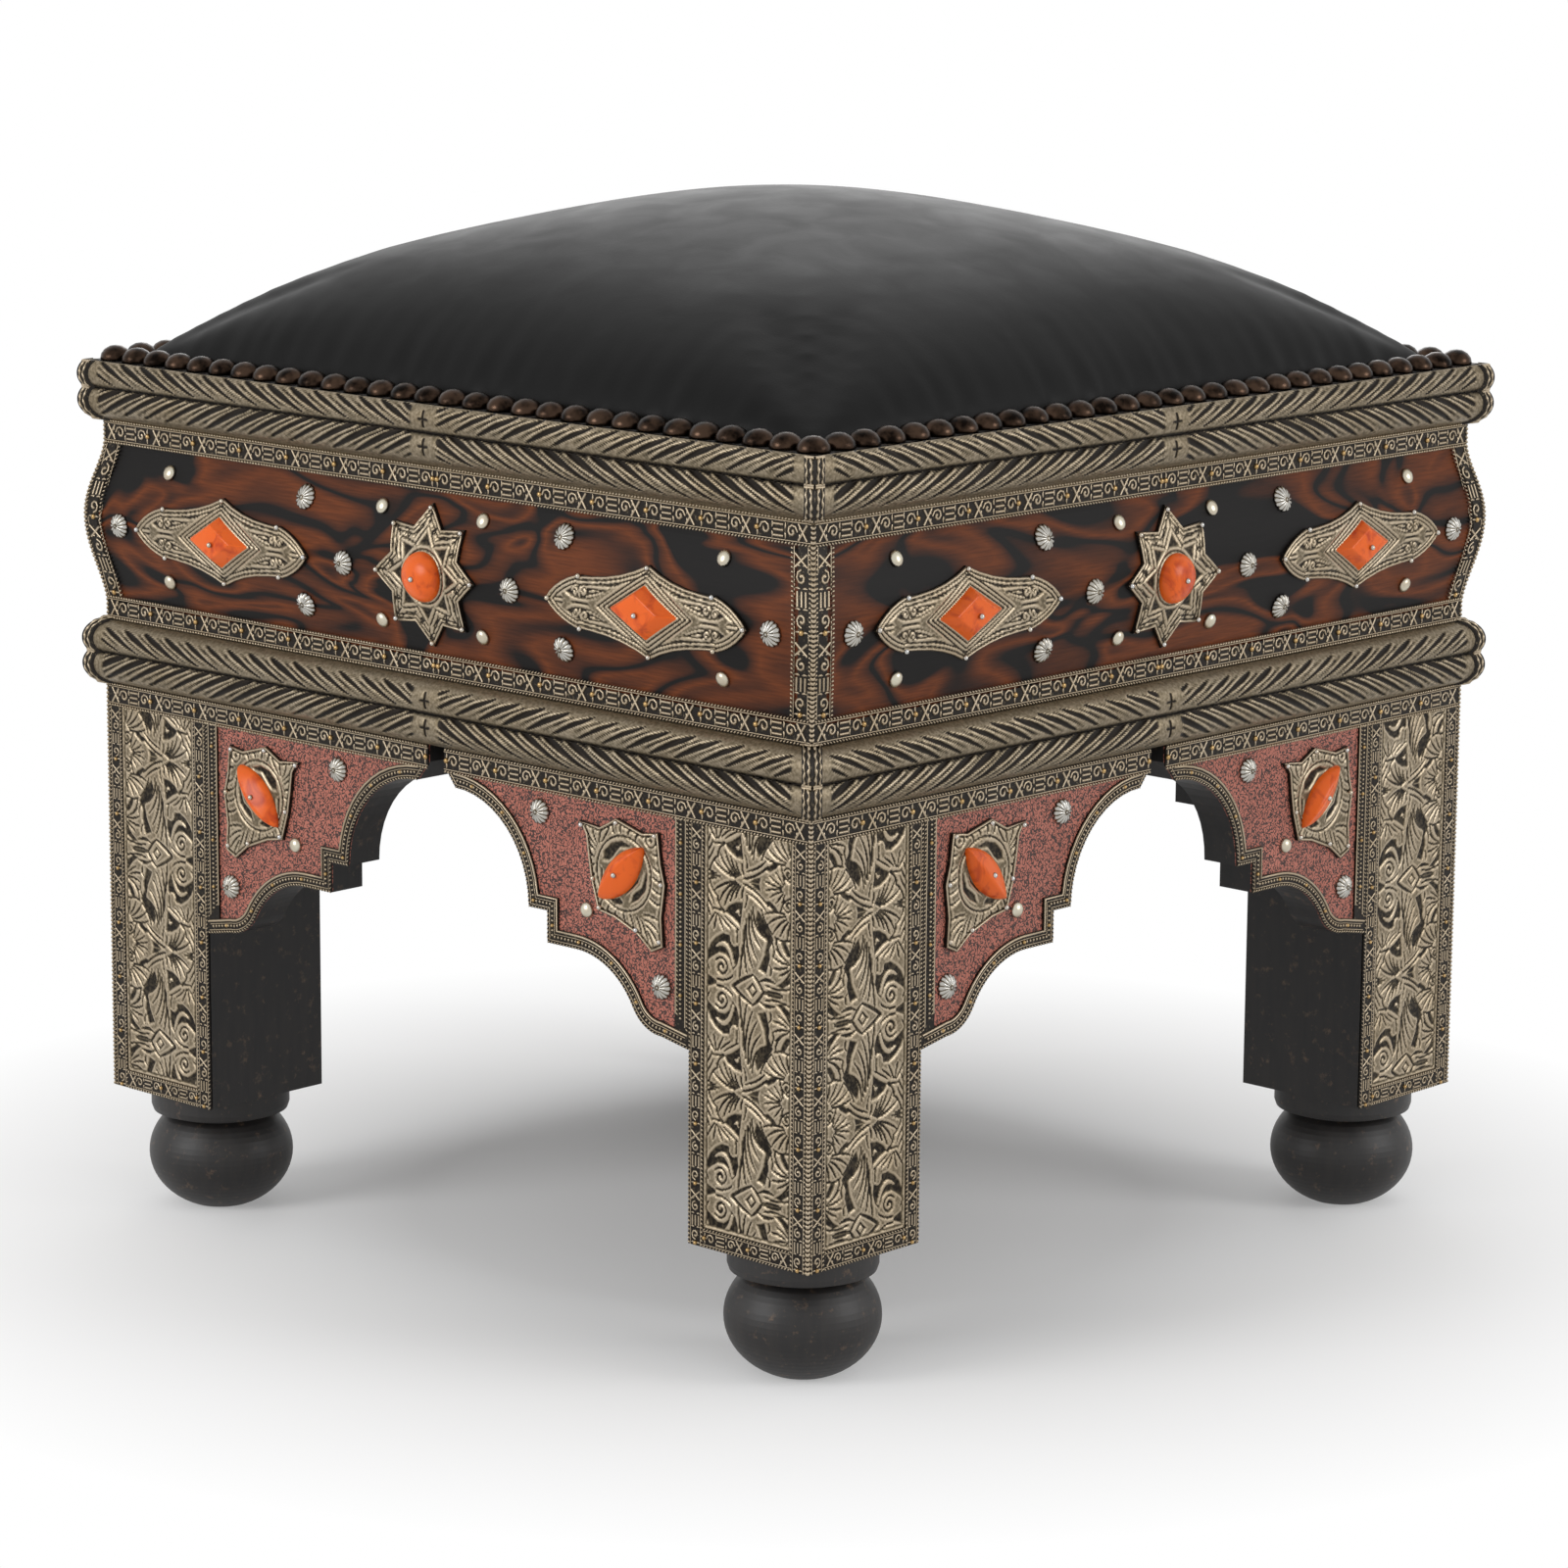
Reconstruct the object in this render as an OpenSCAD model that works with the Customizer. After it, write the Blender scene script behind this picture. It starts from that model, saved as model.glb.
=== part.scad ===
// Square footstool: a wooden carcass with bombe aprons and arched brackets, sheathed twin-bead mouldings,
// embossed metal trim, coral stones and a domed leather seat nailed round its edge.
// Lengths are millimetres. Z is up and the front faces -Y. The origin is the middle of the footprint
// on the floor. Sides and corners are counted round from the front: 0 front, 1 right, 2 back, 3 left.

/* [Carcass] */
// Width of the wooden carcass from leg face to leg face
body_w = 506; // [470:1:600]
// Thickness of the apron, bracket and moulding boards
board_t = 20; // [17:1:24]
// Height of the aprons
apron_h = 104; // [94:1:130]
// How far the aprons swell out past the legs
apron_bulge = 7.8; // [4:0.1:12]
// Thickness of the rails behind the boards
rail_t = 20; // [16:1:24]
// Height of the rails
rail_h = 65; // [50:1:80]
// How far the rails hang below the lower moulding
rail_drop = 19; // [15:1:24]
// Length of the rail tenons
tenon_len = 25; // [16:1:32]
// Thickness of the rail tenons
tenon_t = 9; // [6:1:12]
// Step from a rail's edge to its tenon's edge
tenon_shoulder = 7; // [5:1:12]

/* [Legs] */
// Width of the square legs
leg_w = 77; // [68:1:88]
// Height of the legs from the feet to the lower moulding
leg_h = 220; // [200:1:270]

/* [Feet] */
// Height of the turned feet
foot_h = 64; // [54:1:76]
// Largest diameter of the ball as a share of the leg's width
ball_share = 1; // [0.88:0.01:1.04]
// Diameter of the flat that the ball stands on
ball_flat_d = 33; // [24:1:40]
// Diameter of the neck over the ball
neck_d = 57; // [44:1:62]
// Height of the neck
neck_h = 1.5; // [1:0.1:4]
// Diameter of the disc under the leg as a share of the leg's width
disc_share = 0.96; // [0.88:0.01:1]
// Thickness of the disc
disc_t = 13; // [9:1:18]
// Rounding under the disc's rim
disc_edge = 4; // [2:0.5:7]
// Diameter of the spigot in the leg
spigot_d = 24; // [16:1:32]
// Length of the spigot
spigot_len = 40; // [20:1:60]

/* [Brackets] */
// Gap between the two brackets of a side
arch_gap = 12; // [6:1:24]
// Height of the short upright nib at the gap
nib_h = 9; // [5:1:13]
// Depth of the arch's crown below the moulding
crown_drop = 19; // [16:1:26]
// Height of the step between the two coves
step_h = 16; // [10:1:22]
// How far the toe drops along the leg
toe_drop = 3.5; // [1:0.5:6]
// Thickness of the tongue in the leg
tongue_t = 8; // [5:1:10]
// Length of the tongue
tongue_len = 7; // [4:1:12]

/* [Mouldings] */
// Height of the lower mouldings
lower_moulding_h = 34; // [31:1:40]
// Height of the upper mouldings
upper_moulding_h = 33; // [31:1:38]
// How far the beads stand past the legs
bead_project = 9.5; // [7:0.1:12]
// Radius of the two beads
bead_r = 10.2; // [8.5:0.1:11]
// Distance between the two beads
bead_pitch = 13.6; // [11:0.1:15]
// Height of the first bead's centre in the lower mouldings
lower_bead_z = 10.2; // [9:0.1:12]
// Height of the first bead's centre in the upper mouldings
upper_bead_z = 12.4; // [11:0.1:14]
// Thickness of the metal sheath on the beads
sheath_t = 0.8; // [0.5:0.1:1.2]
// Width of the straps over the mitres
strap_w = 9.6; // [6:0.1:14]
// Thickness of the straps over the mitres
strap_t = 1.2; // [0.8:0.1:2]

/* [Metal trim] */
// Thickness of the plates on legs and brackets
plate_t = 0.6; // [0.4:0.1:1]
// Thickness of the embossed strips
strip_t = 1; // [0.6:0.1:1.6]
// Width of the strips on aprons and legs
strip_w = 9.6; // [7:0.1:12]
// Height of the strip below the lower moulding
skirt_w = 10.8; // [8:0.1:13]
// Width of the strip along the arch
arch_strip_w = 7.4; // [5:0.1:9]
// Thickness of the pierced plaques
plaque_t = 1.4; // [0.8:0.1:2]
// Length of the lozenge plaques
lozenge_len = 134; // [110:1:140]
// Height of the lozenge plaques
lozenge_h = 45.6; // [36:0.2:54]
// Distance of the lozenge plaques from the middle of a side
lozenge_x = 153; // [145:1:155]
// Diameter of the star plaques
star_d = 72; // [60:1:80]
// Diameter of the circle through the star's inner corners
star_inner_d = 52; // [46:1:58]
// Width of the scroll plaques
scroll_w = 59; // [50:1:64]
// Height of the scroll plaques
scroll_h = 60; // [50:1:66]

/* [Stones] */
// Length of the lozenge stones
lozenge_stone_len = 46.6; // [36:0.2:52]
// Height of the lozenge stones
lozenge_stone_w = 27.6; // [20:0.2:30]
// Diameter of the round stones
round_stone_d = 25.4; // [18:0.2:30]
// Length of the pointed oval stones
oval_stone_len = 41; // [30:0.5:46]
// Width of the pointed oval stones
oval_stone_w = 17; // [12:0.5:20]
// Height of the stones over their plaques
stone_t = 6; // [4:0.5:8]
// Height of the round stones over their plaques
round_stone_t = 7.5; // [5:0.5:9]

/* [Nails] */
// Diameter of the seat nails' heads
seat_nail_d = 16.4; // [12:0.2:16.4]
// Height of the seat nails' heads
seat_nail_t = 5.6; // [3:0.2:7]
// Number of seat nails from corner to corner of a side
seat_nails_per_side = 29; // [22:1:32]
// How far the row of seat nails lies inside the legs' faces
seat_nail_inset = 4; // [2:0.5:6]
// Diameter of the fluted nails' heads
fluted_nail_d = 13; // [9:0.5:15]
// Diameter of the plain nails' heads
plain_nail_d = 8; // [6:0.5:10]
// Height of the fluted and plain nails' heads
trim_nail_t = 3; // [2:0.2:4]
// Diameter of the nails' shanks
shank_d = 2; // [1.4:0.2:2.6]
// Length of the nails' shanks
shank_len = 12; // [8:1:14]
// Diameter of the ball pins' heads
pin_d = 3; // [2:0.2:4]
// Height of the ball pins' heads
pin_t = 2.2; // [1.4:0.2:3]
// Diameter of the ball pins' shanks
pin_shank_d = 1.2; // [0.8:0.1:1.6]
// Length of the ball pins' shanks in the wood
pin_shank_len = 5; // [3:0.5:8]

/* [Seat] */
// Thickness of the seat board
seat_board_t = 18; // [14:1:22]
// Gap round the seat board
seat_board_gap = 0.5; // [0.3:0.1:1.5]
// Height of the cleats under the seat board
cleat_h = 34; // [30:1:44]
// Thickness of the cleats
cleat_t = 20; // [16:1:26]
// Thickness of the leather
leather_t = 1.6; // [1:0.1:2.4]
// Height of the seat's shoulders, which rise steeply from its edge
shoulder_h = 63; // [40:1:80]
// Height of the crown over the shoulders
crown_h = 27.5; // [10:0.5:45]
// Distance from the seat nails to the foot of the crown
seat_edge = 8.5; // [8:0.5:12]
// Clearance between the leather and the stuffing
stuffing_gap = 0.6; // [0.5:0.1:1]
// Diameter of the cleat screws
screw_d = 4; // [3:0.5:5]
// Diameter of the cleat screws' heads
screw_head_d = 8; // [6:0.5:9]
// Length of the cleat screws
screw_len = 33; // [28:1:36]
// Distance of the cleat screws from the middle of a side
screw_x = 120; // [80:5:140]
// Distance of the screw rows from the cleat's upper and lower edges
screw_edge = 8; // [6:0.5:10]

/* [Hidden] */

// Colours
black_wood = "#2b2622";
figured_wood = "#6e2f1a";
nickel = "#a39b86";
red_lacquer = "#9c4a41";
coral = "#ee6a33";
leather_black = "#1c1b1c";
bronze = "#4a372c";
silver = "#c9c8c2";
padding_grey = "#8c8378";

// Clearances and cuts
fit_gap = 0.15;
sheet_gap = 0.12;
cut = 2;
probe = 0.5;
quarter = 90;
round_fn = 64;
sides = [0 : 3];

// Widths and heights that the pieces share
half_w = body_w / 2;
board_in = half_w - board_t;
rail_in = board_in - rail_t;
leg_in = half_w - leg_w;
leg_mid = half_w - leg_w / 2;
ball_d = ball_share * leg_w;
disc_d = disc_share * leg_w;
lower_z = foot_h + leg_h;
apron_z = lower_z + lower_moulding_h;
upper_z = apron_z + apron_h;
seat_z = upper_z + upper_moulding_h;
post_top = seat_z - seat_board_t;
rail_z = lower_z - rail_drop;
reach = body_w;
nail_row = half_w - seat_nail_inset;
leather_half = nail_row - shank_d / 2 - probe;
crown_half = nail_row - seat_edge;
bead_c = bead_project - bead_r;

// Swell of the aprons: flat lands for the strips, then a smooth belly that peaks above the middle
swell_land = strip_w;
swell_peak_share = 0.545;
swell_power = 1.5;
swell_steps = 24;
swell_h = apron_h - 2 * swell_land;

function swell_at(t) =
    apron_bulge * pow(sin(quarter * (t < swell_peak_share
        ? t / swell_peak_share
        : (1 - t) / (1 - swell_peak_share))), swell_power);

function swell(v) =
    let (t = (v - swell_land) / swell_h)
    t <= 0 || t >= 1 ? 0 : swell_at(t);

function swell_slope(v) = atan((swell(v + probe) - swell(v - probe)) / (2 * probe));

function swell_knots(low, high) = concat(
    [low],
    [for (i = [0 : swell_steps])
        let (v = swell_land + swell_h * i / swell_steps)
        if (v > low + probe && v < high - probe) v],
    [high]);

function swell_line(low, high, out) = [for (v = swell_knots(low, high)) [swell(v) + out, v]];

function reversed(points) = [for (i = [len(points) - 1 : -1 : 0]) points[i]];

// Arch of a bracket, in shares of the run from the gap to the leg
arch_run = leg_in - arch_gap / 2;
nib_run_share = 0.047;
upper_cove_share = 0.306;
step_run_share = 0.077;
lower_flat_share = 0.118;
lower_cove_share = 0.265;
flare_share = 0.13;
flare_angle = 30;
arch_steps = 12;

upper_cove_r = upper_cove_share * arch_run;
lower_cove_r = lower_cove_share * arch_run;
flare_r = flare_share * arch_run;
upper_c = [arch_gap / 2 + nib_run_share * arch_run, lower_z - crown_drop - upper_cove_r];
cusp = upper_c + [upper_cove_r, 0];
step_s = cusp[0] + step_run_share * arch_run;
step_z = cusp[1] - step_h;
lower_c = [step_s + lower_flat_share * arch_run, step_z - lower_cove_r];
flare_c = lower_c + (lower_cove_r + flare_r) * [cos(flare_angle), sin(flare_angle)];
toe_z = flare_c[1] - flare_r - toe_drop;

function arc(c, r, from, to, steps) =
    [for (i = [0 : steps]) let (a = from + (to - from) * i / steps) c + r * [cos(a), sin(a)]];

// Line of the arch from the gap to the leg, moved into the wood by inset
function arch_line(inset) = concat(
    [[arch_gap / 2 + inset, lower_z], [arch_gap / 2 + inset, lower_z - nib_h + inset / 2]],
    arc(upper_c, upper_cove_r + inset, quarter, asin(inset / (upper_cove_r + inset)), arch_steps),
    [[step_s + inset, cusp[1] + inset], [step_s + inset, step_z + inset]],
    arc(lower_c, lower_cove_r + inset, quarter, flare_angle, arch_steps),
    arc(flare_c, flare_r - inset, flare_angle + 2 * quarter, 3 * quarter, arch_steps),
    [[leg_in, toe_z + inset]]);

// Places on a side, as distance from its middle and height over the apron's lower edge
frieze_mid = swell_land + swell_h / 2;
nail_shares = [0.925, 0.368, 0.237];
nail_rise_shares = [0, 0.285, -0.245];
fluted_places = [
    for (d = [-1, 1]) each [
        [d * half_w * nail_shares[0], frieze_mid],
        [d * half_w * nail_shares[1], frieze_mid + nail_rise_shares[1] * apron_h],
        [d * half_w * nail_shares[1], frieze_mid + nail_rise_shares[2] * apron_h],
        [d * half_w * nail_shares[2], frieze_mid]]];
plain_shares = [0.787, 0.143];
plain_rise_shares = [0.3, -0.255];
plain_places = [
    for (d = [-1, 1], s = plain_shares, r = plain_rise_shares)
        [d * s * half_w, frieze_mid + r * apron_h]];

// Places on a bracket, as shares of its run and of the height from the toe to the moulding
arch_h = lower_z - toe_z;
function on_bracket(shares) = [arch_gap / 2 + shares[0] * arch_run, toe_z + shares[1] * arch_h];
bracket_fluted_shares = [[0.396, 0.82], [0.888, 0.225]];
bracket_plain_share = [0.59, 0.465];
bracket_stone_share = [0.742, 0.645];
bracket_fluted = [for (p = bracket_fluted_shares) on_bracket(p)];
bracket_plain = on_bracket(bracket_plain_share);
bracket_stone = on_bracket(bracket_stone_share);

// Outlines of the plaques
bend_steps = 5;
function bend(a, b, c) =
    [for (i = [0 : bend_steps - 1]) let (t = i / bend_steps)
        (1 - t) * (1 - t) * a + 2 * t * (1 - t) * b + t * t * c];
lozenge_shoulder_share = [0.69, 0.58];
lozenge_waist_share = [0.3, 0.56];
lozenge_brow_share = [0.89, 0.42];
function lozenge_point(share, sx, sy) = [sx * share[0] * lozenge_len / 2, sy * share[1] * lozenge_h / 2];
function lozenge_quarter(sx, sy) = concat(
    bend(lozenge_point([0, 1], sx, sy), lozenge_point(lozenge_waist_share, sx, sy),
        lozenge_point(lozenge_shoulder_share, sx, sy)),
    bend(lozenge_point(lozenge_shoulder_share, sx, sy), lozenge_point(lozenge_brow_share, sx, sy),
        lozenge_point([1, 0], sx, sy)));
function lozenge_quarter_back(sx) = reversed(concat(
    [for (i = [1 : 2 * bend_steps - 1]) lozenge_quarter(sx, -sx)[i]],
    [lozenge_point([1, 0], sx, 1)]));
lozenge_outline = concat(
    lozenge_quarter(1, 1), lozenge_quarter_back(1), lozenge_quarter(-1, -1), lozenge_quarter_back(-1));
lozenge_tip_share = 0.97;
lozenge_brow_pin_share = 0.94;
lozenge_shoulder_pin_share = 0.96;
lozenge_pins = [
    for (d = [-1, 1]) each [
        lozenge_point([lozenge_tip_share, 0], d, 0),
        lozenge_point([0, lozenge_brow_pin_share], 0, d),
        lozenge_point(lozenge_shoulder_share * lozenge_shoulder_pin_share, d, 1),
        lozenge_point(lozenge_shoulder_share * lozenge_shoulder_pin_share, d, -1)]];

star_points = 8;
star_outline = [
    for (i = [0 : 2 * star_points - 1])
        let (r = i % 2 == 0 ? star_d / 2 : star_inner_d / 2, a = quarter + 180 * i / star_points)
        r * [cos(a), sin(a)]];
star_pin_share = 0.94;
star_pins = [for (i = [0 : star_points - 1]) star_pin_share * star_outline[2 * i]];

// Scroll plaque, in shares of its width and height from the stone's middle
scroll_shares = [
    [-0.52, 0.36], [-0.43, 0.26], [-0.4, 0.06], [-0.37, -0.1], [-0.29, -0.35], [-0.1, -0.38],
    [0.17, -0.48], [0.33, -0.6], [0.46, -0.54], [0.44, -0.3], [0.48, -0.03], [0.43, 0.14],
    [0.4, 0.39], [0.22, 0.36], [-0.08, 0.44], [-0.27, 0.34]];
scroll_outline = [for (p = scroll_shares) [p[0] * scroll_w, p[1] * scroll_h]];
scroll_pin_share = 0.92;
scroll_pin_tips = [0, 3, 4, 6, 8, 10, 12, 14];
scroll_pins = [for (i = scroll_pin_tips) scroll_pin_share * scroll_outline[i]];
oval_angle = 45;

// Crown of the seat over its foot, for a place given in shares of the half width
shoulder_power = 0.54;
stuffing_inset = 4;
leather_cells = 22;
stuffing_cells = 18;
function crown(a, b, rise) = abs(a) >= 1 || abs(b) >= 1 ? 0 : rise * (
    shoulder_h * pow((1 - pow(a, 4)) * (1 - pow(b, 4)), shoulder_power)
    + crown_h * pow(cos(quarter * a) * cos(quarter * b), 2)) / (shoulder_h + crown_h);
function spread(i, cells) = sin(quarter * (2 * i / cells - 1));

// Moves a child that faces +X to a side, or a child at the front right corner to a corner
module side(k) {
    rotate([0, 0, quarter * (k - 1)]) children();
}

module corner(k) {
    rotate([0, 0, quarter * k]) children();
}

// A flat outline of distance along the side and height, made into a sheet from x0 outwards
module face_sheet(x0, t) {
    translate([x0, 0, 0]) rotate([quarter, 0, quarter]) linear_extrude(height = t) children();
}

// A section of outward distance and height, run along the side between two distances
module side_run(z, from, to) {
    translate([half_w, to, z]) rotate([quarter, 0, 0]) linear_extrude(height = to - from) children();
}

// The part of the room that belongs to a side, with its two mitre planes
module mitre_room(gap) {
    translate([gap, 0, 0]) linear_extrude(height = seat_z + cut)
        polygon([[0, 0], [reach, -reach], [reach, reach]]);
}

module mitred_run(z, gap) {
    intersection() {
        side_run(z, -reach / 2 - board_t, reach / 2 + board_t) children();
        mitre_room(gap);
    }
}

// Both halves of a side
module halves() {
    children();
    mirror([0, 1, 0]) children();
}

// A place on the swelled frieze, turned square to its surface
module on_frieze(place, out) {
    translate([half_w + swell(place[1]) + out, place[0], apron_z + place[1]])
        rotate([0, swell_slope(place[1]), 0]) children();
}

module on_face(place, out) {
    translate([half_w + out, place[0], place[1]]) children();
}

// Nail with a domed head that faces +X and a shank behind it
module nail(head_d, head_t, stem_d, stem_len) {
    cap_r = (head_d * head_d / 4 + head_t * head_t) / (2 * head_t);
    rotate([0, quarter, 0]) rotate_extrude($fn = round_fn) {
        intersection() {
            translate([0, head_t - cap_r]) circle(r = cap_r, $fn = 2 * round_fn);
            square([head_d, head_t]);
        }
        translate([0, -stem_len]) square([stem_d / 2, stem_len + head_t / 2]);
    }
}

// Hole for a shank, from out in front of the surface to behind the shank's end
module shank_hole(stem_d, stem_len) {
    translate([-stem_len - fit_gap, 0, 0]) rotate([0, quarter, 0])
        cylinder(d = stem_d + 2 * fit_gap, h = stem_len + board_t, $fn = round_fn / 2);
}

// Carcass
module leg(k) {
    color(black_wood) corner(k) difference() {
        union() {
            translate([leg_in, -half_w, foot_h]) cube([leg_w, leg_w, leg_h]);
            translate([leg_in, -board_in, foot_h])
                cube([leg_w - board_t, leg_w - board_t, post_top - foot_h]);
        }
        translate([leg_mid, -leg_mid, foot_h - cut])
            cylinder(d = spigot_d + 2 * fit_gap, h = spigot_len + fit_gap + cut, $fn = round_fn);
        leg_joints();
        mirror([1, 1, 0]) leg_joints();
    }
}

// Mortise and groove that the right side's rail and bracket need in the front right leg
module leg_joints() {
    translate([rail_in + (rail_t - tenon_t) / 2 - fit_gap, -leg_in - tenon_len - fit_gap,
        rail_z + tenon_shoulder - fit_gap])
        cube([tenon_t + 2 * fit_gap, tenon_len + fit_gap + cut,
            rail_h - 2 * tenon_shoulder + 2 * fit_gap]);
    translate([half_w - (board_t + tongue_t) / 2 - fit_gap, -leg_in - tongue_len - fit_gap,
        tongue_low - fit_gap])
        cube([tongue_t + 2 * fit_gap, tongue_len + fit_gap + cut,
            tongue_high - tongue_low + 2 * fit_gap]);
}

tongue_low = toe_z + 2 * arch_strip_w;
tongue_high = lower_z - skirt_w;

module foot(k) {
    ball_h = foot_h - disc_t - neck_h;
    low_share = sqrt(1 - pow(ball_flat_d / ball_d, 2));
    high_share = sqrt(1 - pow(neck_d / ball_d, 2));
    rise = ball_h / (low_share + high_share);
    steps = 20;
    low_a = -asin(low_share);
    high_a = asin(high_share);
    ball = [for (i = [0 : steps]) let (a = low_a + (high_a - low_a) * i / steps)
        [ball_d / 2 * cos(a), rise * (low_share + sin(a))]];
    color(black_wood) corner(k) translate([leg_mid, -leg_mid, 0]) rotate_extrude($fn = round_fn)
        polygon(concat([[0, 0]], ball, [
            [neck_d / 2, foot_h - disc_t],
            [disc_d / 2 - disc_edge, foot_h - disc_t],
            [disc_d / 2 - disc_edge / 4, foot_h - disc_t + disc_edge / 4],
            [disc_d / 2, foot_h - disc_t + disc_edge],
            [disc_d / 2, foot_h],
            [spigot_d / 2, foot_h],
            [spigot_d / 2, foot_h + spigot_len],
            [0, foot_h + spigot_len]]));
}

module rail(k) {
    color(black_wood) side(k) {
        translate([rail_in, -leg_in, rail_z]) cube([rail_t, 2 * leg_in, rail_h]);
        translate([rail_in + (rail_t - tenon_t) / 2, -leg_in - tenon_len, rail_z + tenon_shoulder])
            cube([tenon_t, 2 * (leg_in + tenon_len), rail_h - 2 * tenon_shoulder]);
    }
}

module apron(k) {
    color(figured_wood) side(k) difference() {
        mitred_run(apron_z, 0)
            polygon(concat([[-board_t, 0]], swell_line(0, apron_h, 0), [[-board_t, apron_h]]));
        for (p = concat(fluted_places, plain_places)) on_frieze(p, 0) shank_hole(shank_d, shank_len);
        frieze_pins() shank_hole(pin_shank_d, pin_shank_len + plaque_t);
        frieze_stones() shank_hole(pin_shank_d, pin_shank_len + plaque_t);
        screws() screw(fit_gap);
    }
}

module bracket(k, hand) {
    color(black_wood) side(k) mirror([0, hand, 0]) difference() {
        union() {
            face_sheet(board_in, board_t) polygon(concat(arch_line(0), [[leg_in, lower_z]]));
            translate([half_w - (board_t + tongue_t) / 2, leg_in - board_t, tongue_low])
                cube([tongue_t, board_t + tongue_len, tongue_high - tongue_low]);
        }
        bracket_holes();
    }
}

module bracket_holes() {
    for (p = concat(bracket_fluted, [bracket_plain])) on_face(p, plate_t) shank_hole(shank_d, shank_len);
    for (p = scroll_pins) on_face(bracket_stone + p, plate_t) shank_hole(pin_shank_d, pin_shank_len);
    on_face(bracket_stone, plate_t) shank_hole(pin_shank_d, pin_shank_len);
}

// Two overlapping beads, grown outwards by out and kept between the moulding's faces
module beads_2d(h, bead_z, out) {
    intersection() {
        union() {
            translate([bead_c, bead_z]) circle(r = bead_r + out, $fn = round_fn);
            translate([bead_c, bead_z + bead_pitch]) circle(r = bead_r + out, $fn = round_fn);
        }
        square([reach, h]);
    }
}

module moulding_core_2d(h, bead_z) {
    translate([-board_t, 0]) square([board_t, h]);
    beads_2d(h, bead_z, -sheath_t);
}

module lower_moulding(k) {
    color(black_wood) side(k) mitred_run(lower_z, 0) moulding_core_2d(lower_moulding_h, lower_bead_z);
}

module upper_moulding(k) {
    color(black_wood) side(k) difference() {
        mitred_run(upper_z, 0) moulding_core_2d(upper_moulding_h, upper_bead_z);
        seat_nail_row(seat_nails_per_side) translate([0, 0, -shank_len - fit_gap])
            cylinder(d = shank_d + 2 * fit_gap, h = shank_len + cut, $fn = round_fn / 2);
        screws() screw(fit_gap);
    }
}

// Places of a side's seat nails, from the first corner's nail to nail number last
module seat_nail_row(last) {
    for (i = [0 : last])
        translate([nail_row, nail_row * (2 * i / seat_nails_per_side - 1), seat_z]) children();
}

module cleat(k) {
    color(black_wood) side(k) difference() {
        translate([board_in - cleat_t, -leg_in, post_top - cleat_h]) cube([cleat_t, 2 * leg_in, cleat_h]);
        screws() screw(fit_gap);
    }
}

// Screw that faces +X from the cleat's inner face
module screw(gap) {
    translate([board_in - cleat_t, 0, 0]) rotate([0, quarter, 0]) {
        cylinder(d1 = screw_head_d + 2 * gap, d2 = screw_d + 2 * gap, h = (screw_head_d - screw_d) / 2,
            $fn = round_fn / 2);
        cylinder(d = screw_d + 2 * gap, h = screw_len + gap, $fn = round_fn / 2);
    }
}

module screws() {
    for (s = [-screw_x, screw_x], z = [post_top - cleat_h + screw_edge, post_top - screw_edge])
        translate([0, s, z]) children();
}

// Seat
module seat_board() {
    half = board_in - seat_board_gap;
    color(black_wood) translate([-half, -half, post_top]) cube([2 * half, 2 * half, seat_board_t]);
}

// Closed skin between two height grids of equal size
module grid_solid(xs, top, bottom) {
    n = len(xs);
    last = n - 1;
    upper = [for (i = [0 : last], j = [0 : last]) [xs[i], xs[j], top[i][j]]];
    lower = [for (i = [0 : last], j = [0 : last]) [xs[i], xs[j], bottom[i][j]]];
    function up(i, j) = i * n + j;
    function low(i, j) = n * n + i * n + j;
    function quad(a, b, c, d) = [[a, b, c], [a, c, d]];
    cells = [0 : last - 1];
    faces = concat(
        [for (i = cells, j = cells) each quad(up(i, j), up(i, j + 1), up(i + 1, j + 1), up(i + 1, j))],
        [for (i = cells, j = cells) each quad(low(i, j), low(i + 1, j), low(i + 1, j + 1), low(i, j + 1))],
        [for (i = cells) each quad(up(i, 0), up(i + 1, 0), low(i + 1, 0), low(i, 0))],
        [for (i = cells) each quad(up(i + 1, last), up(i, last), low(i, last), low(i + 1, last))],
        [for (j = cells) each quad(up(0, j + 1), up(0, j), low(0, j), low(0, j + 1))],
        [for (j = cells) each quad(up(last, j), up(last, j + 1), low(last, j + 1), low(last, j))]);
    polyhedron(points = concat(upper, lower), faces = faces, convexity = 4);
}

// Leather drawn over the stuffing, with a flat border under the seat nails
module seat_leather() {
    xs = concat(
        [-leather_half],
        [for (i = [0 : leather_cells]) crown_half * spread(i, leather_cells)],
        [leather_half]);
    rise = shoulder_h + crown_h;
    top = [for (x = xs) [for (y = xs) seat_z + leather_t + crown(x / crown_half, y / crown_half, rise)]];
    bottom = [for (row = top) [for (z = row) z - leather_t]];
    color(leather_black) grid_solid(xs, top, bottom);
}

module seat_stuffing() {
    half = crown_half - stuffing_inset;
    xs = [for (i = [0 : stuffing_cells]) half * spread(i, stuffing_cells)];
    rise = shoulder_h + crown_h - stuffing_gap;
    edge = leather_t;
    top = [for (x = xs) [for (y = xs)
        seat_z + edge + crown(x / half, y / half, rise - edge)]];
    bottom = [for (x = xs) [for (y = xs) seat_z]];
    color(padding_grey) grid_solid(xs, top, bottom);
}

// Metal trim
module sheath(k, z, h, bead_z) {
    side(k) mitred_run(z, sheet_gap) difference() {
        beads_2d(h, bead_z, 0);
        beads_2d(h, bead_z, -sheath_t);
    }
}

module lower_moulding_sheaths() {
    color(nickel) for (k = sides) sheath(k, lower_z, lower_moulding_h, lower_bead_z);
}

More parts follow.
